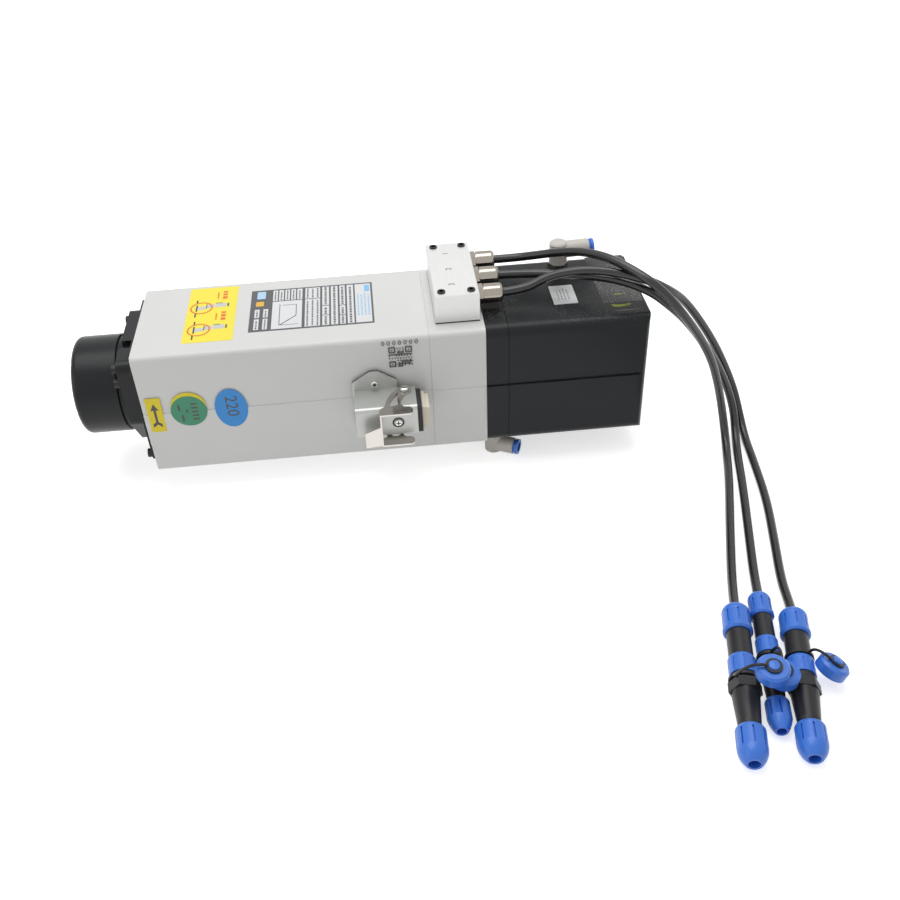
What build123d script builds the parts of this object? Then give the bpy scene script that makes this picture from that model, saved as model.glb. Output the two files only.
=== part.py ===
"""Air-cooled router spindle motor with a pneumatic tool release, as separate pieces.

Frame: origin on the spindle axis at the gauge plane of the tool taper, +X towards the fan,
+Z up through the junction box, -Y towards the power connector. Millimetres.
"""

import math
import os

from build123d import *

os.makedirs("parts", exist_ok=True)

# ---------------------------------------------------------------- driving sizes
body_width = 100.0
body_height = 103.0
grey_corner = 4.0
black_corner = 8.0
band_middle = -11.8  # height of the raised side band's middle
band_width = 27.9
grey_band = 0.7
black_band = 1.4
band_stop = 5.0  # plain rim behind the band on the fan housing

nose_length = 39.5  # nose face to flange
flange_thickness = 11.0
front_plate_thickness = 2.5
housing_length = 214.0
bearing_block_length = 41.0
cylinder_plate_length = 17.0
fan_housing_length = 105.5

nose_radius = 37.5
nose_ring_length = 10.0
nose_ring_proud = 1.0  # how far the spindle stands out of the ring
nose_barrel_length = 35.0
neck_radius = 36.0
nose_edge = 4.5

seat_gap = 0.05  # between two fixed pieces that fit together
running_gap = 0.05  # between a moving piece and its guide
free_gap = 0.5  # between pieces that never touch

spigot_radius = 42.0
spigot_length = 8.0
register_gap = 0.1
duct_wall = 5.0
duct_inner_radius = 46.5
duct_middle_rib = 16.0
duct_spread = 56.0

# tool taper, 7:24
taper_mouth_radius = 15.875
taper_length = 48.0
taper_slope = 7 / 24 / 2

# angular contact bearings: bore radius, outer radius, width
front_bearing = (17.5, 31.0, 14.0)
rear_bearing = (15.0, 27.5, 13.0)
front_bearing_start = 12.0
rear_bearing_inset = 1.0
bearing_rows = 2
ball_radius = 4.0
groove_gap = 0.04
balls_per_row = 10
cage_half_width = 4.6
cage_half_height = 0.9

shaft_radius = 17.0
shaft_nose_radius = 23.0
rotor_radius = 25.0
rotor_start = 90.0
rotor_length = 110.0
end_ring_length = 6.0
air_gap = 0.6
stator_slots = 12
slot_width = 5.0
slot_depth = 9.0
slot_liner = 0.2
winding_overhang = 14.0

release_air_gap = 1.1

# ---------------------------------------------------------------- stations along X
flange_front = nose_length
flange_back = flange_front + flange_thickness
housing_front = flange_back + front_plate_thickness
housing_back = housing_front + housing_length
block_back = housing_back + bearing_block_length
plate_back = block_back + cylinder_plate_length
spindle_back = plate_back + fan_housing_length
half_width = body_width / 2
half_height = body_height / 2


# ---------------------------------------------------------------- shared sections
def body_section(x, corner, band):
    """Rounded square of the body with the shallow band along both sides."""
    with BuildSketch(Plane.YZ.offset(x)) as section:
        RectangleRounded(body_width, body_height, corner)
        with Locations((0, band_middle)):
            Rectangle(body_width + 2 * band, band_width)
    return section.sketch


def plain_section(x, corner):
    with BuildSketch(Plane.YZ.offset(x)) as section:
        RectangleRounded(body_width, body_height, corner)
    return section.sketch


def duct_section(x):
    """Four ducts between the bore and the corners, for the cooling air."""
    with BuildSketch(Plane.YZ.offset(x)) as section:
        Rectangle(duct_spread, body_height - 2 * duct_wall)
        Circle(duct_inner_radius, mode=Mode.SUBTRACT)
        Rectangle(duct_middle_rib, body_height, mode=Mode.SUBTRACT)
    return section.sketch


def disc(x, radius):
    with BuildSketch(Plane.YZ.offset(x)) as section:
        Circle(radius)
    return section.sketch


def spots(x, radius, places):
    """Equal discs at (y, z) places."""
    with BuildSketch(Plane.YZ.offset(x)) as section:
        with Locations(*places):
            Circle(radius)
    return section.sketch


def hexagons(x, across_flats, places):
    with BuildSketch(Plane.YZ.offset(x)) as section:
        with Locations(*places):
            RegularPolygon(across_flats / 2, 6, major_radius=False)
    return section.sketch


def corners_of(y, z):
    return [(y, z), (-y, z), (-y, -z), (y, -z)]


# ---------------------------------------------------------------- nose and its screws
front_bore, front_outer, front_width = front_bearing
front_shoulder = front_bearing_start + bearing_rows * front_width
shoulder_radius = 27.0
flange_half_width = 42.0
flange_top = 41.5
flange_corner = 8.0
flange_cut_side = -10.4  # where the lower corner cut leaves the side
flange_cut_bottom = 19.6  # where it meets the bottom edge
flange_notch = 10.0
flange_notch_depth = 4.0
flange_notch_y = -13.0
ring_screws = 6
ring_screw_circle = 33.4
ring_screw_radius = 1.25
ring_screw_end = 18.0
ring_head_radius = 2.25
ring_head_seat = 4.6
flange_screw_places = [(35.0, 34.0), (-35.0, 34.0), (38.2, 24.0), (-38.2, 24.0)]
plate_screw_places = [(40.5, -40.0), (-40.5, -40.0)]
flange_screw_radius = 2.0
flange_head_radius = 3.4
screw_depth = 12.0  # thread in the housing
hole_gap = 0.1
hex_share = 1.1  # socket across flats over head radius
spigot_end = housing_front + spigot_length

with BuildPart() as nose_ring:
    with BuildSketch(Plane.XZ):
        with BuildLine():
            Polyline(
                (nose_ring_proud, nose_radius - nose_edge),
                (nose_ring_proud, shaft_nose_radius + free_gap),
                (front_bearing_start - seat_gap, shaft_nose_radius + free_gap),
                (front_bearing_start - seat_gap, front_outer - seat_gap),
                (nose_ring_length, front_outer - seat_gap),
                (nose_ring_length, nose_radius),
                (nose_ring_proud + nose_edge, nose_radius),
            )
            RadiusArc(
                (nose_ring_proud + nose_edge, nose_radius),
                (nose_ring_proud, nose_radius - nose_edge),
                -nose_edge,
            )
        make_face()
    revolve(axis=Axis.X)
    with BuildSketch(Plane.YZ):
        with PolarLocations(ring_screw_circle, ring_screws):
            Circle(ring_head_radius + hole_gap)
    extrude(amount=ring_head_seat, mode=Mode.SUBTRACT)
    with BuildSketch(Plane.YZ):
        with PolarLocations(ring_screw_circle, ring_screws):
            Circle(ring_screw_radius + hole_gap)
    extrude(amount=nose_ring_length + 1, mode=Mode.SUBTRACT)
nose_ring.part.label = "nose_ring"
export_step(nose_ring.part, "parts/nose_ring.step")

with BuildPart() as front_bearing_housing:
    extrude(disc(nose_ring_length, nose_radius), amount=nose_barrel_length - nose_ring_length)
    chamfer(front_bearing_housing.edges().group_by(Axis.X)[-1], 0.8)
    extrude(disc(nose_barrel_length, neck_radius), amount=flange_front - nose_barrel_length)
    with BuildSketch(Plane.YZ.offset(flange_front)) as flange:
        with BuildLine():
            Polyline(
                (flange_half_width, flange_top),
                (-flange_half_width, flange_top),
                (-flange_half_width, flange_cut_side),
                (-flange_cut_bottom, -flange_top),
                (flange_cut_bottom, -flange_top),
                (flange_half_width, flange_cut_side),
                close=True,
            )
        make_face()
        fillet(flange.vertices().group_by(Axis.Z)[-1], flange_corner)
        with Locations((flange_notch_y, flange_top)):
            Rectangle(flange_notch, 2 * flange_notch_depth, mode=Mode.SUBTRACT)
    extrude(amount=flange_thickness)
    extrude(disc(flange_back, spigot_radius - register_gap), amount=spigot_end - flange_back)
    extrude(
        disc(nose_ring_length, front_outer),
        amount=front_shoulder - nose_ring_length,
        mode=Mode.SUBTRACT,
    )
    extrude(disc(front_shoulder, shoulder_radius), amount=housing_front, mode=Mode.SUBTRACT)
    with BuildSketch(Plane.YZ.offset(nose_ring_length)):
        with PolarLocations(ring_screw_circle, ring_screws):
            Circle(ring_screw_radius + hole_gap)
    extrude(amount=ring_screw_end + 1 - nose_ring_length, mode=Mode.SUBTRACT)
    extrude(
        spots(flange_front, flange_screw_radius + hole_gap, flange_screw_places),
        amount=flange_thickness,
        mode=Mode.SUBTRACT,
    )
front_bearing_housing.part.label = "front_bearing_housing"
export_step(front_bearing_housing.part, "parts/front_bearing_housing.step")

front_plate_width = 94.0
front_plate_height = 97.0
front_plate_cut = 8.0
seam_edge = 0.4  # broken edge where two housings meet
with BuildPart() as front_plate:
    with BuildSketch(Plane.YZ.offset(flange_back)) as sheet:
        Rectangle(front_plate_width, front_plate_height)
        chamfer(sheet.vertices(), front_plate_cut)
        Circle(spigot_radius, mode=Mode.SUBTRACT)
    extrude(amount=front_plate_thickness)
    extrude(duct_section(flange_back), amount=front_plate_thickness, mode=Mode.SUBTRACT)
    extrude(
        spots(flange_back, flange_screw_radius + hole_gap, flange_screw_places + plate_screw_places),
        amount=front_plate_thickness,
        mode=Mode.SUBTRACT,
    )
front_plate.part.label = "front_plate"
export_step(front_plate.part, "parts/front_plate.step")

with BuildPart() as front_screws:
    with BuildSketch(Plane.YZ.offset(ring_head_seat)):
        with PolarLocations(ring_screw_circle, ring_screws):
            Circle(ring_screw_radius)
    extrude(amount=ring_screw_end - ring_head_seat)
    with BuildSketch(Plane.YZ.offset(ring_head_seat)):
        with PolarLocations(ring_screw_circle, ring_screws):
            Circle(ring_head_radius)
    extrude(amount=-2 * ring_screw_radius)
    with BuildSketch(Plane.YZ.offset(ring_head_seat - 2 * ring_screw_radius)):
        with PolarLocations(ring_screw_circle, ring_screws):
            RegularPolygon(ring_head_radius * hex_share / 2, 6, major_radius=False)
    extrude(amount=ring_screw_radius, mode=Mode.SUBTRACT)
    for places, seat in ((flange_screw_places, flange_front), (plate_screw_places, flange_back)):
        extrude(spots(seat, flange_screw_radius, places), amount=housing_front + screw_depth - seat)
        extrude(spots(seat, flange_head_radius, places), amount=-2 * flange_screw_radius)
        extrude(
            hexagons(seat - 2 * flange_screw_radius, flange_head_radius * hex_share, places),
            amount=flange_screw_radius,
            mode=Mode.SUBTRACT,
        )
front_screws.part.label = "front_screws"
export_step(front_screws.part, "parts/front_screws.step")

# ---------------------------------------------------------------- housings
mount_hole_radius = 3.4
mount_hole_depth = 14.0
mount_spacing_x = 160.0
mount_spacing_y = 80.0
mount_middle = 160.0
cable_window = 10.0
connector_x = 224.5
connector_z = -2.0
connector_screw_rise = 18.0
connector_screw_radius = 1.5
rear_bore, rear_outer, rear_width = rear_bearing
rear_bearing_start = housing_back + rear_bearing_inset
rear_shoulder = rear_bearing_start + bearing_rows * rear_width
rear_lip_radius = 22.0
sensor_x = 303.0
sensor_radius = 3.0
sensor_tip = 12.5
sensor_end = 46.0
sensor_angles = (-40, 0, 40)
box_front = 272.8
box_back = 305.5
box_near = -36.4
box_far = 44.0
box_base = half_height
gasket_thickness = 1.0
box_top = 74.5
box_wall = 3.0
box_screw_inset = 5.5
box_screw_radius = 2.0
box_screw_depth = 8.0
box_middle_x = (box_front + box_back) / 2
box_middle_y = (box_near + box_far) / 2
box_depth = box_back - box_front
box_width = box_far - box_near
tie_places = corners_of(44.5, 24.0)  # long screws through the black end
tie_radius = 2.0

with BuildPart() as motor_housing:
    extrude(body_section(housing_front, grey_corner, grey_band), amount=housing_length)
    chamfer(motor_housing.edges().group_by(Axis.X)[-1], seam_edge)
    chamfer(motor_housing.edges().group_by(Axis.X)[0], seam_edge)
    extrude(disc(housing_front, spigot_radius), amount=housing_length, mode=Mode.SUBTRACT)
    extrude(duct_section(housing_front), amount=housing_length, mode=Mode.SUBTRACT)
    extrude(
        spots(housing_front, flange_screw_radius + hole_gap, flange_screw_places + plate_screw_places),
        amount=screw_depth + 1,
        mode=Mode.SUBTRACT,
    )
    with BuildSketch(Plane.XY.offset(-half_height)):
        with Locations((mount_middle, 0)):
            with GridLocations(mount_spacing_x, mount_spacing_y, 2, 2):
                Circle(mount_hole_radius)
    extrude(amount=mount_hole_depth, mode=Mode.SUBTRACT)
    with BuildSketch(Plane.XZ.offset(half_width + grey_band)):
        with Locations((connector_x, connector_z)):
            Circle(cable_window)
            with Locations((0, connector_screw_rise), (0, -connector_screw_rise)):
                Circle(connector_screw_radius + hole_gap)
    extrude(amount=-12.0, mode=Mode.SUBTRACT)
motor_housing.part.label = "motor_housing"
export_step(motor_housing.part, "parts/motor_housing.step")

with BuildPart() as rear_bearing_block:
    extrude(body_section(housing_back, grey_corner, grey_band), amount=bearing_block_length)
    chamfer(rear_bearing_block.edges().group_by(Axis.X)[0], seam_edge)
    extrude(disc(housing_back, spigot_radius - register_gap), amount=-spigot_length)
    extrude(
        disc(housing_back - spigot_length, rear_outer),
        amount=rear_shoulder - housing_back + spigot_length,
        mode=Mode.SUBTRACT,
    )
    extrude(disc(rear_shoulder, rear_lip_radius), amount=block_back, mode=Mode.SUBTRACT)
    extrude(duct_section(housing_back), amount=bearing_block_length, mode=Mode.SUBTRACT)
    extrude(
        spots(block_back, tie_radius + hole_gap, tie_places),
        amount=-screw_depth - 1,
        mode=Mode.SUBTRACT,
    )
    for angle in sensor_angles:
        across = math.sin(math.radians(angle))
        up = math.cos(math.radians(angle))
        bore_length = half_height if angle == 0 else sensor_end + 1
        with BuildSketch(Plane(origin=(sensor_x, 0, 0), z_dir=(0, across, up))):
            Circle(sensor_radius + seat_gap)
        extrude(amount=bore_length, mode=Mode.SUBTRACT)
    with BuildSketch(Plane.XY.offset(box_base)):
        with Locations((box_middle_x, box_middle_y)):
            with GridLocations(box_depth - 2 * box_screw_inset, box_width - 2 * box_screw_inset, 2, 2):
                Circle(box_screw_radius + hole_gap)
    extrude(amount=-box_screw_depth - 1, mode=Mode.SUBTRACT)
rear_bearing_block.part.label = "rear_bearing_block"
export_step(rear_bearing_block.part, "parts/rear_bearing_block.step")

piston_rod_radius = 12.0
cylinder_bore_radius = 38.0
cylinder_outer_radius = 42.0
cylinder_length = 60.0
cylinder_cap = 6.0
port_thread_radius = 4.8
port_radius = 2.0
top_port = (375.5, 34.5)
bottom_port = (315.2, -30.4)
plate_duct_spread = 44.0

with BuildPart() as cylinder_plate:
    extrude(body_section(block_back, black_corner, black_band), amount=cylinder_plate_length)
    chamfer(cylinder_plate.edges().group_by(Axis.X)[-1], seam_edge)
    extrude(
        disc(block_back, piston_rod_radius + running_gap),
        amount=cylinder_plate_length,
        mode=Mode.SUBTRACT,
    )
    with BuildSketch(Plane.YZ.offset(block_back)):
        Rectangle(plate_duct_spread, body_height - 2 * duct_wall)
        Circle(duct_inner_radius, mode=Mode.SUBTRACT)
        Rectangle(duct_middle_rib, body_height, mode=Mode.SUBTRACT)
    extrude(amount=cylinder_plate_length, mode=Mode.SUBTRACT)
    extrude(spots(block_back, tie_radius + hole_gap, tie_places), amount=20, mode=Mode.SUBTRACT)
    with BuildSketch(Plane.XY.offset(-half_height)):
        with Locations(bottom_port):
            Circle(port_thread_radius + seat_gap)
    extrude(amount=8.0, mode=Mode.SUBTRACT)
    with BuildSketch(Plane.XY.offset(-half_height)):
        with Locations(bottom_port):
            Circle(port_radius)
    extrude(amount=half_height - 18.0, mode=Mode.SUBTRACT)
    with BuildSketch(Plane.YZ.offset(bottom_port[0])):
        with Locations((bottom_port[1], -20.0)):
            Circle(port_radius - 0.6)
    extrude(amount=20, mode=Mode.SUBTRACT)
cylinder_plate.part.label = "cylinder_plate"
export_step(cylinder_plate.part, "parts/cylinder_plate.step")

# ---------------------------------------------------------------- release cylinder and fan end
fan_size = 80.0
fan_depth = 25.0
fan_clearance = 1.0
fan_front = 401.0
fan_bore_radius = 38.5
fan_screw_pitch = 71.5
fan_screw_radius = 2.0
fan_hub_radius = 17.0
guard_front = 427.0
guard_rings = (12.0, 20.0, 28.0)
guard_bar = 2.0
cylinder_back = plate_back + cylinder_length + cylinder_cap
plenum_back = 400.0
plenum_radius = 41.0
rear_corner = 8.0
tie_seat = 340.0
tie_head_radius = 3.6

with BuildPart() as cylinder_body:
    extrude(disc(plate_back, cylinder_outer_radius), amount=cylinder_length + cylinder_cap)
    extrude(disc(plate_back, cylinder_bore_radius), amount=cylinder_length, mode=Mode.SUBTRACT)
    with BuildSketch(Plane.XY):
        with Locations(top_port):
            Circle(port_radius)
    extrude(amount=cylinder_outer_radius, mode=Mode.SUBTRACT)
    fillet(cylinder_body.edges().group_by(Axis.X)[-1], 2.0)
cylinder_body.part.label = "cylinder_body"
export_step(cylinder_body.part, "parts/cylinder_body.step")

with BuildPart() as fan_housing:
    extrude(plain_section(plate_back, black_corner), amount=fan_housing_length)
    with BuildSketch(Plane.YZ.offset(plate_back)):
        with Locations((0, band_middle)):
            Rectangle(body_width + 2 * black_band, band_width)
    extrude(amount=fan_housing_length - band_stop)
    with BuildSketch(Plane.XY.offset(-half_height)):
        with Locations(((plate_back + spindle_back) / 2 - 50, 0)):
            RectangleRounded(fan_housing_length + 100, body_width + 2 * black_band, rear_corner)
    extrude(amount=body_height, mode=Mode.INTERSECT)
    extrude(
        disc(plate_back, cylinder_outer_radius + seat_gap),
        amount=cylinder_back - plate_back,
        mode=Mode.SUBTRACT,
    )
    extrude(duct_section(plate_back), amount=cylinder_back - plate_back, mode=Mode.SUBTRACT)
    with BuildSketch(Plane.YZ.offset(cylinder_back)):
        Circle(plenum_radius)
        Rectangle(duct_spread, body_height - 2 * duct_wall)
    extrude(amount=plenum_back - cylinder_back, mode=Mode.SUBTRACT)
    with BuildSketch(Plane.YZ.offset(plenum_back)):
        RectangleRounded(fan_size + fan_clearance, fan_size + fan_clearance, 4.0)
    extrude(amount=spindle_back - plenum_back, mode=Mode.SUBTRACT)
    with BuildSketch(Plane.YZ.offset(plenum_back)):
        with GridLocations(fan_screw_pitch, fan_screw_pitch, 2, 2):
            Circle(fan_screw_radius + hole_gap)
    extrude(amount=-8.0, mode=Mode.SUBTRACT)
    extrude(
        spots(plate_back, tie_radius + hole_gap, tie_places),
        amount=tie_seat - plate_back,
        mode=Mode.SUBTRACT,
    )
    extrude(
        spots(tie_seat, tie_head_radius + hole_gap, tie_places),
        amount=plenum_back - tie_seat,
        mode=Mode.SUBTRACT,
    )
    with BuildSketch(Plane.XY.offset(half_height)):
        with Locations(top_port):
            Circle(port_thread_radius + seat_gap)
    extrude(amount=-8.0, mode=Mode.SUBTRACT)
    with BuildSketch(Plane.XY.offset(half_height)):
        with Locations(top_port):
            Circle(port_radius)
    extrude(amount=-30.0, mode=Mode.SUBTRACT)
fan_housing.part.label = "fan_housing"
export_step(fan_housing.part, "parts/fan_housing.step")

with BuildPart() as fan_frame:
    with BuildSketch(Plane.YZ.offset(fan_front)):
        RectangleRounded(fan_size, fan_size, 4.0)
        Circle(fan_bore_radius, mode=Mode.SUBTRACT)
        with GridLocations(fan_screw_pitch, fan_screw_pitch, 2, 2):
            Circle(fan_screw_radius + hole_gap, mode=Mode.SUBTRACT)
    extrude(amount=fan_depth)
    with BuildSketch(Plane.YZ.offset(fan_front)):
        Circle(fan_hub_radius - 1)
        with PolarLocations((fan_bore_radius + fan_hub_radius) / 2 - 1, 4, start_angle=20):
            Rectangle(fan_bore_radius - fan_hub_radius + 5, 4.0)
    extrude(amount=3.0)
    extrude(disc(fan_front, 4.0), amount=16.0)
    extrude(disc(fan_front, 1.6), amount=16.0, mode=Mode.SUBTRACT)
fan_frame.part.label = "fan_frame"
export_step(fan_frame.part, "parts/fan_frame.step")

fan_blades = 7
blade_thickness = 1.6
blade_pitch = 38.0
impeller_front = fan_front + 4.0
impeller_length = 18.0
with BuildPart() as fan_impeller:
    extrude(disc(impeller_front, fan_hub_radius), amount=impeller_length)
    fillet(fan_impeller.edges().group_by(Axis.X)[-1], 2.0)
    extrude(disc(impeller_front, fan_hub_radius - 1.5), amount=impeller_length - 2, mode=Mode.SUBTRACT)
    extrude(disc(impeller_front - 3.0, 1.5), amount=impeller_length + 2)
    for blade in range(fan_blades):
        turn = 360 / fan_blades * blade
        with BuildSketch(
            Plane(
                origin=(impeller_front + impeller_length / 2, 0, 0),
                x_dir=(1, 0, 0),
                z_dir=(0, math.cos(math.radians(turn)), math.sin(math.radians(turn))),
            ).offset(fan_hub_radius - 1.0)
        ):
            RectangleRounded(
                impeller_length * 1.1, blade_thickness, blade_thickness * 0.4, rotation=blade_pitch
            )
        extrude(amount=fan_bore_radius - fan_hub_radius - 1.0)
fan_impeller.part.label = "fan_impeller"
export_step(fan_impeller.part, "parts/fan_impeller.step")

with BuildPart() as fan_guard:
    with BuildSketch(Plane.YZ.offset(guard_front)):
        RectangleRounded(fan_size, fan_size, 4.0)
        Circle(fan_bore_radius, mode=Mode.SUBTRACT)
        for ring in guard_rings:
            Circle(ring + guard_bar / 2)
            Circle(ring - guard_bar / 2, mode=Mode.SUBTRACT)
        with PolarLocations(guard_rings[0], 4, start_angle=45):
            with Locations((fan_bore_radius / 2 - guard_rings[0] / 2 + 0.5, 0)):
                Rectangle(fan_bore_radius - guard_rings[0] + 1, guard_bar)
        with GridLocations(fan_screw_pitch, fan_screw_pitch, 2, 2):
            Circle(fan_screw_radius + hole_gap, mode=Mode.SUBTRACT)
    extrude(amount=2.0)
fan_guard.part.label = "fan_guard"
export_step(fan_guard.part, "parts/fan_guard.step")

guard_back = guard_front + 2.0
with BuildPart() as rear_screws:
    fan_screw_places = corners_of(fan_screw_pitch / 2, fan_screw_pitch / 2)
    extrude(spots(guard_back, fan_screw_radius, fan_screw_places), amount=393.0 - guard_back)
    extrude(spots(guard_back, fan_screw_radius * 1.7, fan_screw_places), amount=1.5)
    extrude(
        hexagons(guard_back + 1.5, fan_screw_radius * 1.2, fan_screw_places),
        amount=-1.0,
        mode=Mode.SUBTRACT,
    )
    extrude(spots(tie_seat, tie_radius, tie_places), amount=296.0 - tie_seat)
    extrude(spots(tie_seat, tie_head_radius, tie_places), amount=2 * tie_radius)
    extrude(
        hexagons(tie_seat + 2 * tie_radius, tie_head_radius * hex_share, tie_places),
        amount=-tie_radius,
        mode=Mode.SUBTRACT,
    )
rear_screws.part.label = "rear_screws"
export_step(rear_screws.part, "parts/rear_screws.step")

# ---------------------------------------------------------------- junction box and glands
gland_places = [(34.5, 62.5), (9.5, 62.5), (-16.5, 62.5)]
gland_thread_radius = 5.8
gland_hex = 13.0
gland_body_end = 313.0
gland_nut_radius = 7.2
gland_end = 325.0
cable_radius = 3.25
box_screw_places = [
    (box_front + box_screw_inset, box_near + box_screw_inset),
    (box_front + box_screw_inset, box_far - box_screw_inset),
    (box_back - box_screw_inset, box_near + box_screw_inset),
    (box_back - box_screw_inset, box_far - box_screw_inset),
]
with BuildPart() as junction_box_gasket:
    with BuildSketch(Plane.XY.offset(box_base)):
        with Locations((box_middle_x, box_middle_y)):
            Rectangle(box_depth, box_width)
            Rectangle(box_depth - 2 * box_wall, box_width - 2 * box_wall, mode=Mode.SUBTRACT)
            with GridLocations(box_depth - 2 * box_screw_inset, box_width - 2 * box_screw_inset, 2, 2):
                Circle(2 * box_screw_radius)
                Circle(box_screw_radius + hole_gap, mode=Mode.SUBTRACT)
    extrude(amount=gasket_thickness)
junction_box_gasket.part.label = "junction_box_gasket"
export_step(junction_box_gasket.part, "parts/junction_box_gasket.step")

box_floor = box_base + gasket_thickness
box_head_radius = 2.9
box_head_proud = 1.0  # of the lid, and the rest sits in a counterbore
box_head_height = 2.5
with BuildPart() as junction_box:
    with BuildSketch(Plane.XY.offset(box_floor)):
        with Locations((box_middle_x, box_middle_y)):
            Rectangle(box_depth, box_width)
    extrude(amount=box_top - box_floor)
    chamfer(junction_box.edges().group_by(Axis.Z)[-1], 0.6)
    with BuildSketch(Plane.XY.offset(box_floor)):
        with Locations((box_middle_x, box_middle_y)):
            Rectangle(box_depth - 2 * box_wall, box_width - 2 * box_wall)
            with GridLocations(box_depth - 2 * box_screw_inset, box_width - 2 * box_screw_inset, 2, 2):
                Circle(2 * box_screw_radius, mode=Mode.SUBTRACT)
    extrude(amount=box_top - box_floor - box_wall, mode=Mode.SUBTRACT)
    with BuildSketch(Plane.XY.offset(box_floor)):
        with Locations(*box_screw_places):
            Circle(box_screw_radius + hole_gap)
    extrude(amount=box_top, mode=Mode.SUBTRACT)
    with BuildSketch(Plane.XY.offset(box_top)):
        with Locations(*box_screw_places):
            Circle(box_head_radius + hole_gap)
    extrude(amount=box_head_proud - box_head_height, mode=Mode.SUBTRACT)
    extrude(
        spots(box_back, gland_thread_radius + hole_gap, gland_places),
        amount=-box_wall,
        mode=Mode.SUBTRACT,
    )
junction_box.part.label = "junction_box"
export_step(junction_box.part, "parts/junction_box.step")

with BuildPart() as junction_box_screws:
    with BuildSketch(Plane.XY.offset(box_top)):
        with Locations(*box_screw_places):
            Circle(box_screw_radius)
    extrude(amount=box_base - box_screw_depth - box_top)
    with BuildSketch(Plane.XY.offset(box_top + box_head_proud)):
        with Locations(*box_screw_places):
            Circle(box_head_radius)
    extrude(amount=-box_head_height)
    with BuildSketch(Plane.XY.offset(box_top + box_head_proud)):
        with Locations(*box_screw_places):
            RegularPolygon(box_head_radius * hex_share / 2, 6, major_radius=False)
    extrude(amount=-box_head_height / 2, mode=Mode.SUBTRACT)
junction_box_screws.part.label = "junction_box_screws"
export_step(junction_box_screws.part, "parts/junction_box_screws.step")

with BuildPart() as gland_bodies:
    extrude(spots(box_back, gland_thread_radius, gland_places), amount=-box_wall)
    extrude(hexagons(box_back, gland_hex, gland_places), amount=4.5)
    extrude(spots(box_back, gland_thread_radius, gland_places), amount=gland_body_end - box_back)
    extrude(
        spots(box_back - 2 * box_wall, cable_radius, gland_places),
        amount=30,
        mode=Mode.SUBTRACT,
    )
gland_bodies.part.label = "gland_bodies"
export_step(gland_bodies.part, "parts/gland_bodies.step")

with BuildPart() as gland_nuts:
    extrude(spots(box_back + 5.0, gland_nut_radius, gland_places), amount=gland_end - box_back - 5.0)
    fillet(gland_nuts.edges().group_by(Axis.X)[-1], 3.0)
    with BuildSketch(Plane.YZ.offset(box_back + 5.0)):
        with Locations(*gland_places):
            RegularPolygon(gland_hex / 2 + 0.3, 6, major_radius=False)
    extrude(amount=gland_end - box_back, mode=Mode.INTERSECT)
    extrude(
        spots(box_back + 5.0, gland_thread_radius, gland_places),
        amount=gland_body_end - box_back - 5.0 + 0.5,
        mode=Mode.SUBTRACT,
    )
    extrude(
        spots(box_back + 5.0, cable_radius - 0.25, gland_places),
        amount=gland_end,
        mode=Mode.SUBTRACT,
    )
gland_nuts.part.label = "gland_nuts"
export_step(gland_nuts.part, "parts/gland_nuts.step")

with BuildPart() as proximity_sensors:
    for angle in sensor_angles:
        across = math.sin(math.radians(angle))
        up = math.cos(math.radians(angle))
        with BuildSketch(Plane(origin=(sensor_x, 0, 0), z_dir=(0, across, up)).offset(sensor_tip)):
            Circle(sensor_radius)
        extrude(amount=sensor_end - sensor_tip)
proximity_sensors.part.label = "proximity_sensors"
export_step(proximity_sensors.part, "parts/proximity_sensors.step")

# ---------------------------------------------------------------- motor and bearings
stator_inner_radius = rotor_radius + air_gap
rotor_end = rotor_start + rotor_length
slot_start_radius = stator_inner_radius + 1.2
with BuildPart() as stator_core:
    with BuildSketch(Plane.YZ.offset(rotor_start)):
        Circle(spigot_radius)
        Circle(stator_inner_radius, mode=Mode.SUBTRACT)
        with PolarLocations(slot_start_radius + slot_depth / 2, stator_slots):
            Rectangle(slot_depth, slot_width, mode=Mode.SUBTRACT)
        with PolarLocations(slot_start_radius, stator_slots):
            Rectangle(3.0, 1.6, mode=Mode.SUBTRACT)
    extrude(amount=rotor_length)
stator_core.part.label = "stator_core"
export_step(stator_core.part, "parts/stator_core.step")

end_turn_gap = 2.0
with BuildPart() as stator_windings:
    with BuildSketch(Plane.YZ.offset(rotor_start - end_turn_gap)):
        with PolarLocations(slot_start_radius + slot_depth / 2, stator_slots):
            Rectangle(slot_depth - 2 * slot_liner, slot_width - 2 * slot_liner)
    extrude(amount=rotor_length + 2 * end_turn_gap)
    for station, way in ((rotor_start - end_turn_gap, -1), (rotor_end + end_turn_gap, 1)):
        with BuildSketch(Plane.YZ.offset(station)):
            Circle(slot_start_radius + slot_depth + 1.0)
            Circle(slot_start_radius + 0.5, mode=Mode.SUBTRACT)
        extrude(amount=way * (winding_overhang - end_turn_gap))
    fillet(
        stator_windings.edges().group_by(Axis.X)[0] + stator_windings.edges().group_by(Axis.X)[-1],
        2.5,
    )
stator_windings.part.label = "stator_windings"
export_step(stator_windings.part, "parts/stator_windings.step")

with BuildPart() as rotor_core:
    extrude(disc(rotor_start, rotor_radius), amount=rotor_length)
    for station, way in ((rotor_start, -1), (rotor_end, 1)):
        extrude(disc(station, rotor_radius - 1.0), amount=way * end_ring_length)
    extrude(
        disc(rotor_start - end_ring_length, shaft_radius),
        amount=rotor_length + 2 * end_ring_length,
        mode=Mode.SUBTRACT,
    )
rotor_core.part.label = "rotor_core"
export_step(rotor_core.part, "parts/rotor_core.step")


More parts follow.
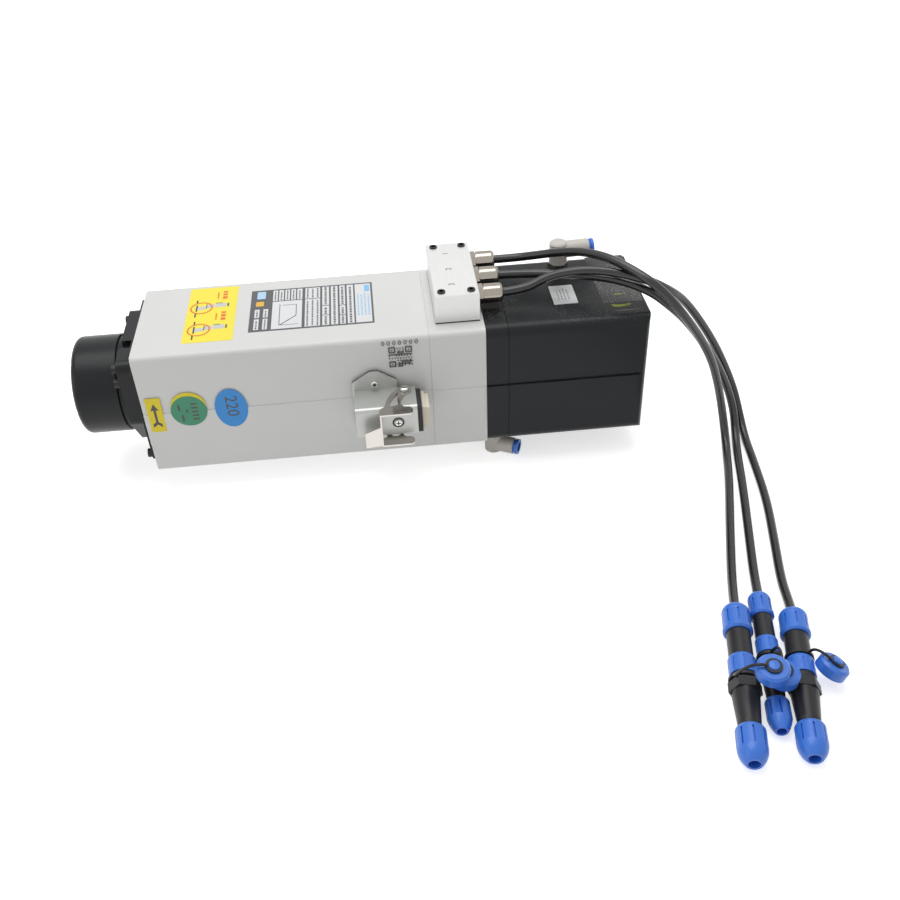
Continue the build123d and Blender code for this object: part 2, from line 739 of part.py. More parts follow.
def ring_pair(bearing, start):
    """Inner and outer rings of a bearing row pair as half sections, with ball grooves."""
    bore, outer, width = bearing
    pitch = (bore + outer) / 2
    land = (outer - bore) * 0.36
    sections = []
    for inner_edge, outer_edge in ((bore, bore + land), (outer - land, outer)):
        with BuildSketch(Plane.XZ) as rings:
            for row in range(bearing_rows):
                middle = start + (row + 0.5) * width
                with Locations((middle, (inner_edge + outer_edge) / 2)):
                    Rectangle(width - 0.2, outer_edge - inner_edge)
            for row in range(bearing_rows):
                with Locations((start + (row + 0.5) * width, pitch)):
                    Circle(ball_radius + groove_gap, mode=Mode.SUBTRACT)
        sections.append(rings.sketch)
    return sections


front_sections = ring_pair(front_bearing, front_bearing_start)
rear_sections = ring_pair(rear_bearing, rear_bearing_start)
with BuildPart() as front_inner_races:
    revolve(front_sections[0], axis=Axis.X)
front_inner_races.part.label = "front_inner_races"
export_step(front_inner_races.part, "parts/front_inner_races.step")
with BuildPart() as front_outer_races:
    revolve(front_sections[1], axis=Axis.X)
front_outer_races.part.label = "front_outer_races"
export_step(front_outer_races.part, "parts/front_outer_races.step")
with BuildPart() as rear_inner_races:
    revolve(rear_sections[0], axis=Axis.X)
rear_inner_races.part.label = "rear_inner_races"
export_step(rear_inner_races.part, "parts/rear_inner_races.step")
with BuildPart() as rear_outer_races:
    revolve(rear_sections[1], axis=Axis.X)
rear_outer_races.part.label = "rear_outer_races"
export_step(rear_outer_races.part, "parts/rear_outer_races.step")

with BuildPart() as front_ball_set:
    pitch = (front_bore + front_outer) / 2
    for row in range(bearing_rows):
        middle = front_bearing_start + (row + 0.5) * front_width
        with BuildSketch(Plane.XZ):
            with Locations((middle, pitch)):
                Rectangle(2 * cage_half_width, 2 * cage_half_height)
        revolve(axis=Axis.X)
        with Locations(Location((middle, 0, 0), (0, 90, 0))):
            with PolarLocations(pitch, balls_per_row):
                Sphere(ball_radius)
front_ball_set.part.label = "front_ball_set"
export_step(front_ball_set.part, "parts/front_ball_set.step")

with BuildPart() as rear_ball_set:
    pitch = (rear_bore + rear_outer) / 2
    for row in range(bearing_rows):
        middle = rear_bearing_start + (row + 0.5) * rear_width
        with BuildSketch(Plane.XZ):
            with Locations((middle, pitch)):
                Rectangle(2 * cage_half_width, 2 * cage_half_height)
        revolve(axis=Axis.X)
        with Locations(Location((middle, 0, 0), (0, 90, 0))):
            with PolarLocations(pitch, balls_per_row):
                Sphere(ball_radius)
rear_ball_set.part.label = "rear_ball_set"
export_step(rear_ball_set.part, "parts/rear_ball_set.step")

# ---------------------------------------------------------------- spindle and drawbar
taper_end_radius = taper_mouth_radius - taper_length * taper_slope
gripper_bore = 9.0
chamber_start = 88.0
chamber_radius = 12.0
shaft_end = 298.5
nut_start = 285.0
shaft_collar_radius = 21.0
front_nut_radius = 24.0
front_nut_length = 8.0
rear_nut_radius = 20.0
rear_nut_length = 4.0
rear_seat_radius = rear_bore
shaft_tail_radius = 14.0
with BuildPart() as spindle_shaft:
    with BuildSketch(Plane.XZ):
        with BuildLine():
            Polyline(
                (0, taper_mouth_radius),
                (taper_length, taper_end_radius),
                (taper_length, gripper_bore),
                (chamber_start, gripper_bore),
                (chamber_start, chamber_radius),
                (shaft_end, chamber_radius),
                (shaft_end, shaft_tail_radius),
                (rear_shoulder, shaft_tail_radius),
                (rear_shoulder, rear_seat_radius),
                (rear_bearing_start, rear_seat_radius),
                (rear_bearing_start, shaft_radius),
                (front_shoulder, shaft_radius),
                (front_shoulder, front_bore),
                (front_bearing_start, front_bore),
                (front_bearing_start, shaft_collar_radius),
                (nose_ring_length, shaft_collar_radius),
                (nose_ring_length, shaft_nose_radius),
                (0, shaft_nose_radius),
                close=True,
            )
        make_face()
    revolve(axis=Axis.X)
    chamfer(spindle_shaft.edges().group_by(Axis.X)[0], 0.6)
spindle_shaft.part.label = "spindle_shaft"
export_step(spindle_shaft.part, "parts/spindle_shaft.step")

with BuildPart() as shaft_nuts:
    extrude(disc(front_shoulder, front_nut_radius), amount=front_nut_length)
    extrude(disc(front_shoulder, shaft_radius), amount=front_nut_length, mode=Mode.SUBTRACT)
    with BuildSketch(Plane.YZ.offset(front_shoulder)):
        with PolarLocations(front_nut_radius, 4):
            Rectangle(3.0, 4.0)
    extrude(amount=front_nut_length, mode=Mode.SUBTRACT)
    extrude(disc(rear_shoulder, rear_nut_radius), amount=rear_nut_length)
    with BuildSketch(Plane.YZ.offset(rear_shoulder)):
        Circle(shaft_tail_radius)
        with PolarLocations(rear_nut_radius, 4):
            Rectangle(3.0, 4.0)
    extrude(amount=rear_nut_length, mode=Mode.SUBTRACT)
shaft_nuts.part.label = "shaft_nuts"
export_step(shaft_nuts.part, "parts/shaft_nuts.step")

rod_radius = 6.0
spring_end = 268.0
with BuildPart() as spring_nut:
    extrude(disc(nut_start, chamber_radius), amount=11.0)
    extrude(disc(nut_start, rod_radius + running_gap), amount=11.0, mode=Mode.SUBTRACT)
spring_nut.part.label = "spring_nut"
export_step(spring_nut.part, "parts/spring_nut.step")

drawbar_start = 74.0
collar_radius = 11.7
collar_length = 4.0
head_start = 307.0
head_length = 6.0
head_radius = 11.0
with BuildPart() as drawbar:
    extrude(disc(drawbar_start, rod_radius), amount=head_start - drawbar_start)
    extrude(disc(spring_end, collar_radius), amount=collar_length)
    extrude(disc(head_start, head_radius), amount=head_length)
    chamfer(drawbar.edges().group_by(Axis.X)[-1], 0.6)
drawbar.part.label = "drawbar"
export_step(drawbar.part, "parts/drawbar.step")

gripper_start = 38.0
gripper_radius = 8.5
finger_length = 22.0
finger_slot = 1.6
with BuildPart() as gripper:
    with BuildSketch(Plane.XZ):
        with BuildLine():
            Polyline(
                (gripper_start, 6.0),
                (gripper_start, gripper_radius - 0.6),
                (gripper_start + 4.0, gripper_radius),
                (drawbar_start, gripper_radius),
                (drawbar_start, 0),
                (drawbar_start - 10.0, 0),
                (drawbar_start - 10.0, 6.5),
                (gripper_start + 5.0, 6.5),
                close=True,
            )
        make_face()
    revolve(axis=Axis.X)
    with BuildSketch(Plane.YZ.offset(gripper_start)):
        Rectangle(2 * body_width, finger_slot)
        Rectangle(finger_slot, 2 * body_width)
    extrude(amount=finger_length, mode=Mode.SUBTRACT)
gripper.part.label = "gripper"
export_step(gripper.part, "parts/gripper.step")

spring_outer = 11.5
spring_inner = 6.3
with BuildPart() as disc_springs:
    with BuildSketch(Plane.YZ.offset(chamber_start)):
        Circle(spring_outer)
        Circle(spring_inner, mode=Mode.SUBTRACT)
    extrude(amount=spring_end - chamber_start)
disc_springs.part.label = "disc_springs"
export_step(disc_springs.part, "parts/disc_springs.step")

piston_front = 352.0
piston_length = 16.0
rod_front = head_start + head_length + release_air_gap
seal_width = 3.0
seal_depth = 2.0
seal_middles = (piston_front + 4.0, piston_front + 12.0)
with BuildPart() as piston:
    extrude(disc(rod_front, piston_rod_radius), amount=piston_front - rod_front)
    extrude(disc(piston_front, cylinder_bore_radius - running_gap), amount=piston_length)
    with BuildSketch(Plane.XZ):
        for middle in seal_middles:
            with Locations((middle, cylinder_bore_radius)):
                Rectangle(seal_width, 2 * seal_depth)
    revolve(axis=Axis.X, mode=Mode.SUBTRACT)
piston.part.label = "piston"
export_step(piston.part, "parts/piston.step")

with BuildPart() as piston_seals:
    for middle in seal_middles:
        with BuildSketch(Plane.YZ.offset(middle - seal_width / 2)):
            Circle(cylinder_bore_radius - running_gap / 2)
            Circle(cylinder_bore_radius - seal_depth, mode=Mode.SUBTRACT)
        extrude(amount=seal_width)
piston_seals.part.label = "piston_seals"
export_step(piston_seals.part, "parts/piston_seals.step")

# ---------------------------------------------------------------- power connector on the side
side_face = -half_width - grey_band
connector_gasket_thickness = 1.5
connector_flange_back = side_face - connector_gasket_thickness
connector_face = -54.0
flange_side = 16.5
flange_shoulder = 19.0
flange_apex = 27.6
flange_apex_width = 6.5
housing_front_x = 209.0
housing_back_x = 254.0
housing_outer = -80.0
housing_top = 10.8
housing_bottom = -14.5
housing_corner = 3.5
connector_middle_z = (housing_top + housing_bottom) / 2
connector_height = housing_top - housing_bottom


def connector_outline(y, inset):
    with BuildSketch(Plane.XZ.offset(-y)) as section:
        with BuildLine():
            Polyline(
                (connector_x - flange_side + inset, connector_z - flange_shoulder),
                (connector_x - flange_side + inset, connector_z + flange_shoulder),
                (connector_x - flange_apex_width / 2, connector_z + flange_apex - inset),
                (connector_x + flange_apex_width / 2, connector_z + flange_apex - inset),
                (connector_x + flange_side - inset, connector_z + flange_shoulder),
                (connector_x + flange_side - inset, connector_z - flange_shoulder),
                (connector_x + flange_apex_width / 2, connector_z - flange_apex + inset),
                (connector_x - flange_apex_width / 2, connector_z - flange_apex + inset),
                close=True,
            )
        make_face()
    return section.sketch


connector_screw_z = (connector_z + connector_screw_rise, connector_z - connector_screw_rise)
pin_x = 246.0
pin_y = -59.5
pin_radius = 2.5
with BuildPart() as connector_gasket:
    extrude(connector_outline(side_face, 0.4), amount=connector_gasket_thickness)
    with BuildSketch(Plane.XZ.offset(-side_face)):
        with Locations((connector_x, connector_z)):
            Circle(cable_window)
            with Locations((0, connector_screw_rise), (0, -connector_screw_rise)):
                Circle(connector_screw_radius + hole_gap)
    extrude(amount=connector_gasket_thickness, mode=Mode.SUBTRACT)
connector_gasket.part.label = "connector_gasket"
export_step(connector_gasket.part, "parts/connector_gasket.step")

cavity_depth = 20.0
cavity_wall = 2.0
lever_thickness = 1.2
lever_gap = 0.3
with BuildPart() as connector_housing:
    extrude(connector_outline(connector_flange_back, 0), amount=connector_flange_back - connector_face)
    with BuildSketch(Plane.YZ.offset(housing_front_x)):
        with Locations(((connector_face + housing_outer) / 2, connector_middle_z)):
            RectangleRounded(connector_face - housing_outer, connector_height, housing_corner)
        with Locations((connector_face - 2, connector_middle_z)):
            Rectangle(4, connector_height)
    extrude(amount=housing_back_x - housing_front_x)
    with BuildSketch(Plane.YZ.offset(housing_back_x)):
        with Locations(((connector_face + housing_outer) / 2, connector_middle_z)):
            Rectangle(
                connector_face - housing_outer - 2 * cavity_wall,
                connector_height - 2 * cavity_wall,
            )
    extrude(amount=-cavity_depth, mode=Mode.SUBTRACT)
    with BuildSketch(Plane.XZ.offset(-connector_flange_back)):
        with Locations((connector_x, connector_z)):
            Circle(cable_window - 1)
    extrude(amount=14.0, mode=Mode.SUBTRACT)
    with BuildSketch(Plane.XZ.offset(-connector_flange_back)):
        with Locations(*[(connector_x, z) for z in connector_screw_z]):
            Circle(connector_screw_radius + hole_gap)
    extrude(amount=4.0, mode=Mode.SUBTRACT)
    for z, way in ((housing_top, 1), (housing_bottom, -1)):
        with BuildSketch(Plane.XY.offset(z)):
            with Locations((pin_x, pin_y)):
                Circle(pin_radius)
        extrude(amount=way * (lever_gap + lever_thickness + 0.3))
        with BuildSketch(Plane.XY.offset(z + way * (lever_gap + lever_thickness + 0.2))):
            with Locations((pin_x, pin_y)):
                Circle(pin_radius + 1.0)
        extrude(amount=way * 1.3)
connector_housing.part.label = "connector_housing"
export_step(connector_housing.part, "parts/connector_housing.step")

cover_screw = (239.6, -1.9)
with BuildPart() as connector_screws:
    with BuildSketch(Plane.XZ.offset(-connector_face)):
        with Locations(*[(connector_x, z) for z in connector_screw_z]):
            Circle(connector_screw_radius)
    extrude(amount=-12.0)
    with BuildSketch(Plane.XZ.offset(-connector_face)):
        with Locations(*[(connector_x, z) for z in connector_screw_z]):
            Circle(2.7)
    extrude(amount=2.2)
    fillet(connector_screws.edges().group_by(Axis.Y)[0], 0.8)
    with BuildSketch(Plane.XZ.offset(-housing_outer)):
        with Locations(cover_screw):
            Circle(2.7)
    extrude(amount=1.4)
    fillet(connector_screws.edges().group_by(Axis.Y)[0], 0.6)
    with BuildSketch(Plane.XZ.offset(-housing_outer + 1.4)):
        with Locations(cover_screw):
            Rectangle(3.2, 0.7)
            Rectangle(0.7, 3.2)
    extrude(amount=-0.8, mode=Mode.SUBTRACT)
connector_screws.part.label = "connector_screws"
export_step(connector_screws.part, "parts/connector_screws.step")

seal_thickness = 3.5
with BuildPart() as connector_seal:
    with BuildSketch(Plane.YZ.offset(housing_back_x)):
        with Locations(((connector_face + housing_outer) / 2, connector_middle_z)):
            RectangleRounded(connector_face - housing_outer - 1.0, connector_height - 1.0, housing_corner)
            Rectangle(
                connector_face - housing_outer - 2 * cavity_wall - 0.6,
                connector_height - 2 * cavity_wall - 0.6,
                mode=Mode.SUBTRACT,
            )
    extrude(amount=seal_thickness)
connector_seal.part.label = "connector_seal"
export_step(connector_seal.part, "parts/connector_seal.step")

insert_front = housing_back_x - cavity_depth
insert_middle_y = (connector_face + housing_outer) / 2
insert_sizes = ((21.0, 20.4, 26.0), (18.5, 17.5, 29.0))
contact_pitch = 7.6
contact_radius = 1.3
contact_places = [
    (insert_middle_y + contact_pitch / 2 * across, connector_middle_z + contact_pitch / 2 * up)
    for across in (-1, 1)
    for up in (-1, 1)
]
with BuildPart() as connector_insert:
    for width, height, length in insert_sizes:
        with BuildSketch(Plane.YZ.offset(insert_front)):
            with Locations((insert_middle_y, connector_middle_z)):
                RectangleRounded(width, height, 1.5)
        extrude(amount=length)
    with BuildSketch(Plane.YZ.offset(insert_front)):
        with Locations(*contact_places):
            Circle(contact_radius + 0.6)
        with Locations((insert_middle_y, connector_middle_z)):
            Circle(1.2)
    extrude(amount=30.0, mode=Mode.SUBTRACT)
connector_insert.part.label = "connector_insert"
export_step(connector_insert.part, "parts/connector_insert.step")

with BuildPart() as connector_contacts:
    extrude(spots(insert_front, contact_radius, contact_places), amount=22.0)
    extrude(spots(insert_front, contact_radius + 0.6, contact_places), amount=4.0)
connector_contacts.part.label = "connector_contacts"
export_step(connector_contacts.part, "parts/connector_contacts.step")

cheek_top = housing_top + lever_gap
cheek_bottom = housing_bottom - lever_gap - lever_thickness
bar_front = 226.5
bar_edge = -89.5
foot_back = -81.0
hook_end = 248.4
tab_front = 215.0
tab_low = cheek_bottom + 1.0
tab_high = 2.0
with BuildPart() as latch_lever:
    with BuildSketch(Plane.XY.offset(cheek_bottom)) as cheek:
        with BuildLine():
            boss = ThreePointArc((246.8, -64.1), (250.0, -57.2), (242.5, -56.6))
            Spline(boss @ 1, (236.6, -62.6), (232.6, -70.4), (230.4, -79.0))
            Polyline((230.4, -79.0), (bar_front, -82.2), (bar_front, bar_edge + 0.8))
            Line((bar_front, bar_edge + 0.8), (bar_front + 0.8, bar_edge))
            Line((bar_front + 0.8, bar_edge), (hook_end, bar_edge))
            ThreePointArc(
                (hook_end, bar_edge), (hook_end + 2.2, (bar_edge + foot_back) / 2), (hook_end, foot_back)
            )
            Line((hook_end, foot_back), (244.9, foot_back + 0.3))
            Spline((244.9, foot_back + 0.3), (242.4, -77.0), (243.2, -69.4), boss @ 0)
        make_face()
        with BuildLine():
            Spline(
                (240.8, -63.2), (235.3, -71.6), (234.4, -78.0), (239.2, -78.4), (240.2, -70.4), periodic=True
            )
        make_face(mode=Mode.SUBTRACT)
        with Locations((pin_x, pin_y)):
            Circle(pin_radius + running_gap, mode=Mode.SUBTRACT)
    extrude(amount=lever_thickness)
    extrude(cheek.sketch.moved(Location((0, 0, cheek_top - cheek_bottom))), amount=lever_thickness)
    with BuildSketch(Plane.YZ.offset(bar_front)):
        with Locations(((bar_edge + foot_back - 1.2) / 2, (cheek_top + cheek_bottom + lever_thickness) / 2)):
            Rectangle(foot_back - 1.2 - bar_edge, cheek_top + lever_thickness - cheek_bottom)
    extrude(amount=lever_thickness)
    with BuildSketch(Plane.XZ.offset(-bar_edge)):
        with BuildLine():
            Line((bar_front + lever_thickness, tab_low), (tab_front, tab_low - 1.0))
            Line((tab_front, tab_low - 1.0), (tab_front, tab_high - 5.0))
            Line((tab_front, tab_high - 5.0), (bar_front + lever_thickness, tab_high))
            Line((bar_front + lever_thickness, tab_high), (bar_front + lever_thickness, tab_low))
        make_face()
    extrude(amount=-lever_thickness)
latch_lever.part.label = "latch_lever"
export_step(latch_lever.part, "parts/latch_lever.step")

# ---------------------------------------------------------------- air fittings
fitting_hex = 14.0
fitting_bore = 4.1
arm_radius = 7.0
arm_tube_radius = 6.6
ring_radius = 6.2
ring_travel = 1.5
release_bore = 4.0
sleeve_radius = 5.2


def elbow(port, side, heading, rise, arm_length):
    """Swivelling body of an elbow fitting and its release ring, as two solids."""
    ground = side * half_height
    arm_z = ground + side * rise
    start = Vector(port[0], port[1], arm_z)
    along = Vector(math.cos(math.radians(heading)), math.sin(math.radians(heading)), 0)
    arm_plane = Plane(origin=start, z_dir=along)
    with BuildPart() as body:
        with BuildSketch(Plane.XY.offset(ground + side * 4.6)):
            with Locations(port):
                Circle(arm_radius)
        extrude(amount=side * (rise - 4.6 + arm_radius))
        far_face = body.faces().sort_by(Axis.Z)[-1 if side > 0 else 0]
        chamfer(far_face.edges(), 1.2)
        with BuildSketch(arm_plane):
            Circle(arm_tube_radius)
        extrude(amount=arm_length)
        with BuildSketch(arm_plane.offset(6.0)):
            Circle(fitting_bore)
        extrude(amount=arm_length, mode=Mode.SUBTRACT)
        with BuildSketch(arm_plane.offset(arm_length - 6.0)):
            Circle(sleeve_radius + running_gap)
        extrude(amount=8.0, mode=Mode.SUBTRACT)
        with BuildSketch(Plane.XY.offset(ground + side * 4.6)):
            with Locations(port):
                Circle(3.6)
        extrude(amount=side * 3.0, mode=Mode.SUBTRACT)
    with BuildPart() as ring:
        with BuildSketch(arm_plane.offset(arm_length - 3.5)):
            Circle(sleeve_radius)
        extrude(amount=5.5)
        with BuildSketch(arm_plane.offset(arm_length + ring_travel + 0.1)):
            Circle(ring_radius)
        extrude(amount=2.4)
        with BuildSketch(arm_plane.offset(arm_length - 4)):
            Circle(release_bore + 0.1)
        extrude(amount=12.0, mode=Mode.SUBTRACT)
    return body.part, ring.part


top_heading = 4.0
top_rise = 15.0
bottom_heading = -26.8
bottom_rise = 14.9
top_parts = elbow(top_port, 1, top_heading, top_rise, 23.5)
bottom_parts = elbow(bottom_port, -1, bottom_heading, bottom_rise, 17.5)
with BuildPart() as top_elbow:
    add(top_parts[0])
top_elbow.part.label = "top_elbow"
export_step(top_elbow.part, "parts/top_elbow.step")
with BuildPart() as top_release_ring:
    add(top_parts[1])
top_release_ring.part.label = "top_release_ring"
export_step(top_release_ring.part, "parts/top_release_ring.step")
with BuildPart() as bottom_elbow:
    add(bottom_parts[0])
bottom_elbow.part.label = "bottom_elbow"
export_step(bottom_elbow.part, "parts/bottom_elbow.step")
with BuildPart() as bottom_release_ring:
    add(bottom_parts[1])
bottom_release_ring.part.label = "bottom_release_ring"
export_step(bottom_release_ring.part, "parts/bottom_release_ring.step")

with BuildPart() as fitting_bases:
    for port, side in ((top_port, 1), (bottom_port, -1)):
        ground = side * half_height
        with BuildSketch(Plane.XY.offset(ground)):
            with Locations(port):
                RegularPolygon(fitting_hex / 2, 6, major_radius=False)
        extrude(amount=side * 4.5)
        with BuildSketch(Plane.XY.offset(ground)):
            with Locations(port):
                Circle(port_thread_radius)
        extrude(amount=-side * 7.5)
        with BuildSketch(Plane.XY.offset(ground)):
            with Locations(port):
                Circle(3.5)
        extrude(amount=side * 7.4)
        with BuildSketch(Plane.XY.offset(ground - side * 8)):
            with Locations(port):
                Circle(port_radius)
        extrude(amount=side * 20, mode=Mode.SUBTRACT)
fitting_bases.part.label = "fitting_bases"
export_step(fitting_bases.part, "parts/fitting_bases.step")

# ---------------------------------------------------------------- sensor cables
cable_1_route = [
    (325.12, 34.5, 62.5), (341, 34.2, 62.7), (357, 25, 68.5), (373, 14, 75.5), (388, 1.5, 81),
    (403, -16, 84), (417, -36, 83), (430, -49, 77.5), (442, -55.5, 66.5), (455, -54.5, 49.5),
    (469, -48, 28.5), (481.5, -45, 5.5), (490.5, -41.5, -19.5), (497, -39.5, -42.5),
    (499, -48.5, -60), (496.5, -67, -70.2), (488, -100, -70.2), (474, -146, -70),
    (461, -190, -70.2), (453.6, -216, -67.8), (449.4, -231.5, -64.3),
]
cable_2_route = [
    (325.12, 9.5, 62.5), (345, 9, 62.2), (364, 3.5, 63.5), (383, -5.5, 65.5), (402, -15, 67),
    (419, -26, 66.5), (434, -34, 61.5), (447, -37, 51), (461, -34, 36), (479, -28, 11),
    (495.5, -26, -15), (505.5, -27, -36.5), (510, -34.5, -53), (509, -47, -65),
    (505.5, -64, -70.2), (497, -104, -70), (486, -150, -70.2), (476, -191, -70),
    (471.8, -209, -68.4), (468.8, -221, -65.9),
]
cable_3_route = [
    (325.12, -16.5, 62.5), (342, -16, 63), (357, -13.5, 70), (373, -17, 75.5), (391, -21, 77.5),
    (410, -28, 77), (430, -34, 72.5), (446, -30, 61.5), (461.5, -20, 46.5), (477.5, -16, 25),
    (494, -14, -1), (507, -15.5, -27), (514, -21, -45), (517, -31.5, -60.5),
    (517, -48, -69.8), (514.5, -76, -70.2), (509, -124, -70), (499, -170, -70.2),
    (490.8, -206, -70), (487.4, -228, -67), (484.9, -240, -64.3),
]


def corner_radii(route):
    """Radius at each inner corner: the largest whose arc takes under half of either run."""
    radii = []
    for before, here, after in zip(route, route[1:], route[2:]):
        one = Vector(*here) - Vector(*before)
        two = Vector(*after) - Vector(*here)
        half_turn = math.radians(one.get_angle(two)) / 2
        radii.append(0.45 * min(one.length, two.length) / math.tan(half_turn))
    return radii


def sweep_cable(route):
    """Sweep the cable's round section along a route, in the open builder."""
    with BuildLine() as path:
        FilletPolyline(*route, radius=corner_radii(route))
    with BuildSketch(Plane(origin=path.line @ 0, z_dir=path.line % 0)) as section:
        Circle(cable_radius)
    sweep(section.sketch, path=path.line, transition=Transition.RIGHT)


with BuildPart() as cable_1:
    sweep_cable(cable_1_route)
cable_1.part.label = "cable_1"
export_step(cable_1.part, "parts/cable_1.step")
with BuildPart() as cable_2:
    sweep_cable(cable_2_route)
cable_2.part.label = "cable_2"
export_step(cable_2.part, "parts/cable_2.step")
with BuildPart() as cable_3:
    sweep_cable(cable_3_route)
cable_3.part.label = "cable_3"
export_step(cable_3.part, "parts/cable_3.step")
for route in (cable_1_route, cable_2_route, cable_3_route):
    print("smallest cable radius", round(min(corner_radii(route)), 1))

# ---------------------------------------------------------------- plugs at the cable ends
plug_ends = (  # cable end, far end, share of the full width
    ((449.4, -231.5, -64.3), (422.8, -350.9, -64.3), 1.0),
    ((468.8, -221.0, -65.9), (446.5, -329.9, -65.9), 0.82),
    ((484.9, -240.0, -64.3), (457.8, -351.4, -64.3), 1.0),
)
nut_radius = 9.1
shell_radius = 7.7
socket_radius = 8.6
socket_tail_radius = 7.0
coupling_radius = 8.7
plug_wall = 1.5
nut_slots = 8
nut_slot_width = 1.0
nut_slot_depth = 0.9
slot_tool = 2.0  # radial height of the cutter that makes a slot
full_length = 122.3
t_nut = (0.45, 23.5)  # stations along a plug of full length, from the cable end
t_shell = (23.5, 44.0)
t_coupling = (44.5, 58.5)
t_flange = (64.0, 71.0)
t_body = (59.0, 97.5)
t_low_nut = (97.5, 121.0)


def along(ends, stations):
    """Stations of one plug, drawn in by its own length."""
    share = (Vector(*ends[1]) - Vector(*ends[0])).length / full_length
    return [station * share for station in stations]


def plug_plane(ends):
    one, two = Vector(*ends[0]), Vector(*ends[1])
    return Plane(origin=one, x_dir=(0, 0, 1), z_dir=two - one)


def turned_on(plane, *corners, bulge=None):
    """Revolve a (radius, station) outline about the plug's own axis, its first leg bulged through a point."""
    half_plane = Plane(origin=plane.origin, x_dir=plane.x_dir, z_dir=-plane.y_dir)
    with BuildSketch(half_plane) as half:
        with BuildLine():
            if bulge is None:
                Polyline(*corners, close=True)
            else:
                ThreePointArc(corners[0], bulge, corners[1])
                Polyline(*corners[1:], corners[0])
        make_face()
    revolve(half.sketch, axis=Axis(plane.origin, plane.z_dir))


with BuildPart() as plug_nuts:
    for ends in plug_ends:
        size = ends[2]
        near, far = along(ends, t_nut)
        turned_on(
            plug_plane(ends),
            (nut_radius * size - 3.0, near + 0.8), (nut_radius * size, near + 7.0),
            (nut_radius * size, far - 4.0), (nut_radius * size + 0.5, far - 3.5),
            (nut_radius * size + 0.5, far - 1.2), (nut_radius * size - 0.6, far),
            (shell_radius * size - plug_wall, far), (shell_radius * size - plug_wall, near + 7.0),
            (cable_radius - 1.0, near + 5.0), (cable_radius - 1.0, near), (cable_radius + 0.6, near),
            bulge=(nut_radius * size - 0.7, near + 3.0),
        )
        with BuildSketch(plug_plane(ends).offset(near + 7.5)):
            with PolarLocations(nut_radius * size - nut_slot_depth + slot_tool / 2, nut_slots):
                Rectangle(slot_tool, nut_slot_width)
        extrude(amount=far - near - 13.0, mode=Mode.SUBTRACT)
plug_nuts.part.label = "plug_nuts"
export_step(plug_nuts.part, "parts/plug_nuts.step")

with BuildPart() as plug_shells:
    for ends in plug_ends:
        size = ends[2]
        near, far = along(ends, t_shell)
        inside = along(ends, t_coupling)[1] + 3.0
        turned_on(
            plug_plane(ends),
            (cable_radius + 0.1, near), (shell_radius * size, near), (shell_radius * size, far),
            (shell_radius * size - 1.8, far), (shell_radius * size - 1.8, inside),
            (cable_radius + 0.1, inside),
        )
plug_shells.part.label = "plug_shells"
export_step(plug_shells.part, "parts/plug_shells.step")


def coupling_ring(ends):
    """Turn a bayonet ring with grip ribs in the open builder."""
    size = ends[2]
    near, far = along(ends, t_coupling)
    turned_on(
        plug_plane(ends),
        (shell_radius * size - 1.5, near), (coupling_radius * size - 0.6, near),
        (coupling_radius * size, near + 1.2), (coupling_radius * size, far),
        (shell_radius * size - 1.5, far),
    )
    with BuildSketch(plug_plane(ends).offset(near + 3.0)) as grip:
        with PolarLocations(coupling_radius * size - nut_slot_depth / 2 + slot_tool / 2, nut_slots):
            Rectangle(slot_tool, nut_slot_width)
    extrude(grip.sketch, amount=far - near - 5.0, mode=Mode.SUBTRACT)


with BuildPart() as coupling_ring_1:
    coupling_ring(plug_ends[0])
coupling_ring_1.part.label = "coupling_ring_1"
export_step(coupling_ring_1.part, "parts/coupling_ring_1.step")
with BuildPart() as coupling_ring_2:
    coupling_ring(plug_ends[1])
coupling_ring_2.part.label = "coupling_ring_2"
export_step(coupling_ring_2.part, "parts/coupling_ring_2.step")
with BuildPart() as coupling_ring_3:
    coupling_ring(plug_ends[2])
coupling_ring_3.part.label = "coupling_ring_3"
export_step(coupling_ring_3.part, "parts/coupling_ring_3.step")

with BuildPart() as socket_shells:
    for ends in plug_ends:
        size = ends[2]
        near, far = along(ends, t_body)
        flange, flange_end = along(ends, t_flange)
        joint = along(ends, t_coupling)[1]
        plane = plug_plane(ends)
        turned_on(
            plane,
            (shell_radius * size - 1.2, near), (socket_radius * size - 0.4, near),
            (socket_radius * size, flange_end),
            (socket_radius * size - 0.2, flange_end + 3.0), (socket_tail_radius * size, far - 4.0),
            (socket_tail_radius * size - 1.0, far), (socket_tail_radius * size - 2.5, far),
            (socket_tail_radius * size - 2.5, joint + 8.0), (shell_radius * size - 1.2, joint + 6.0),
        )
        with BuildSketch(plane.offset(flange)):
            RegularPolygon(socket_radius * size + 0.3, 6, major_radius=False, rotation=30)
        extrude(amount=flange_end - flange)
        with BuildSketch(plane.offset(flange)):
            Circle(socket_radius * size - 2.0)
        extrude(amount=flange_end - flange, mode=Mode.SUBTRACT)
socket_shells.part.label = "socket_shells"
export_step(socket_shells.part, "parts/socket_shells.step")

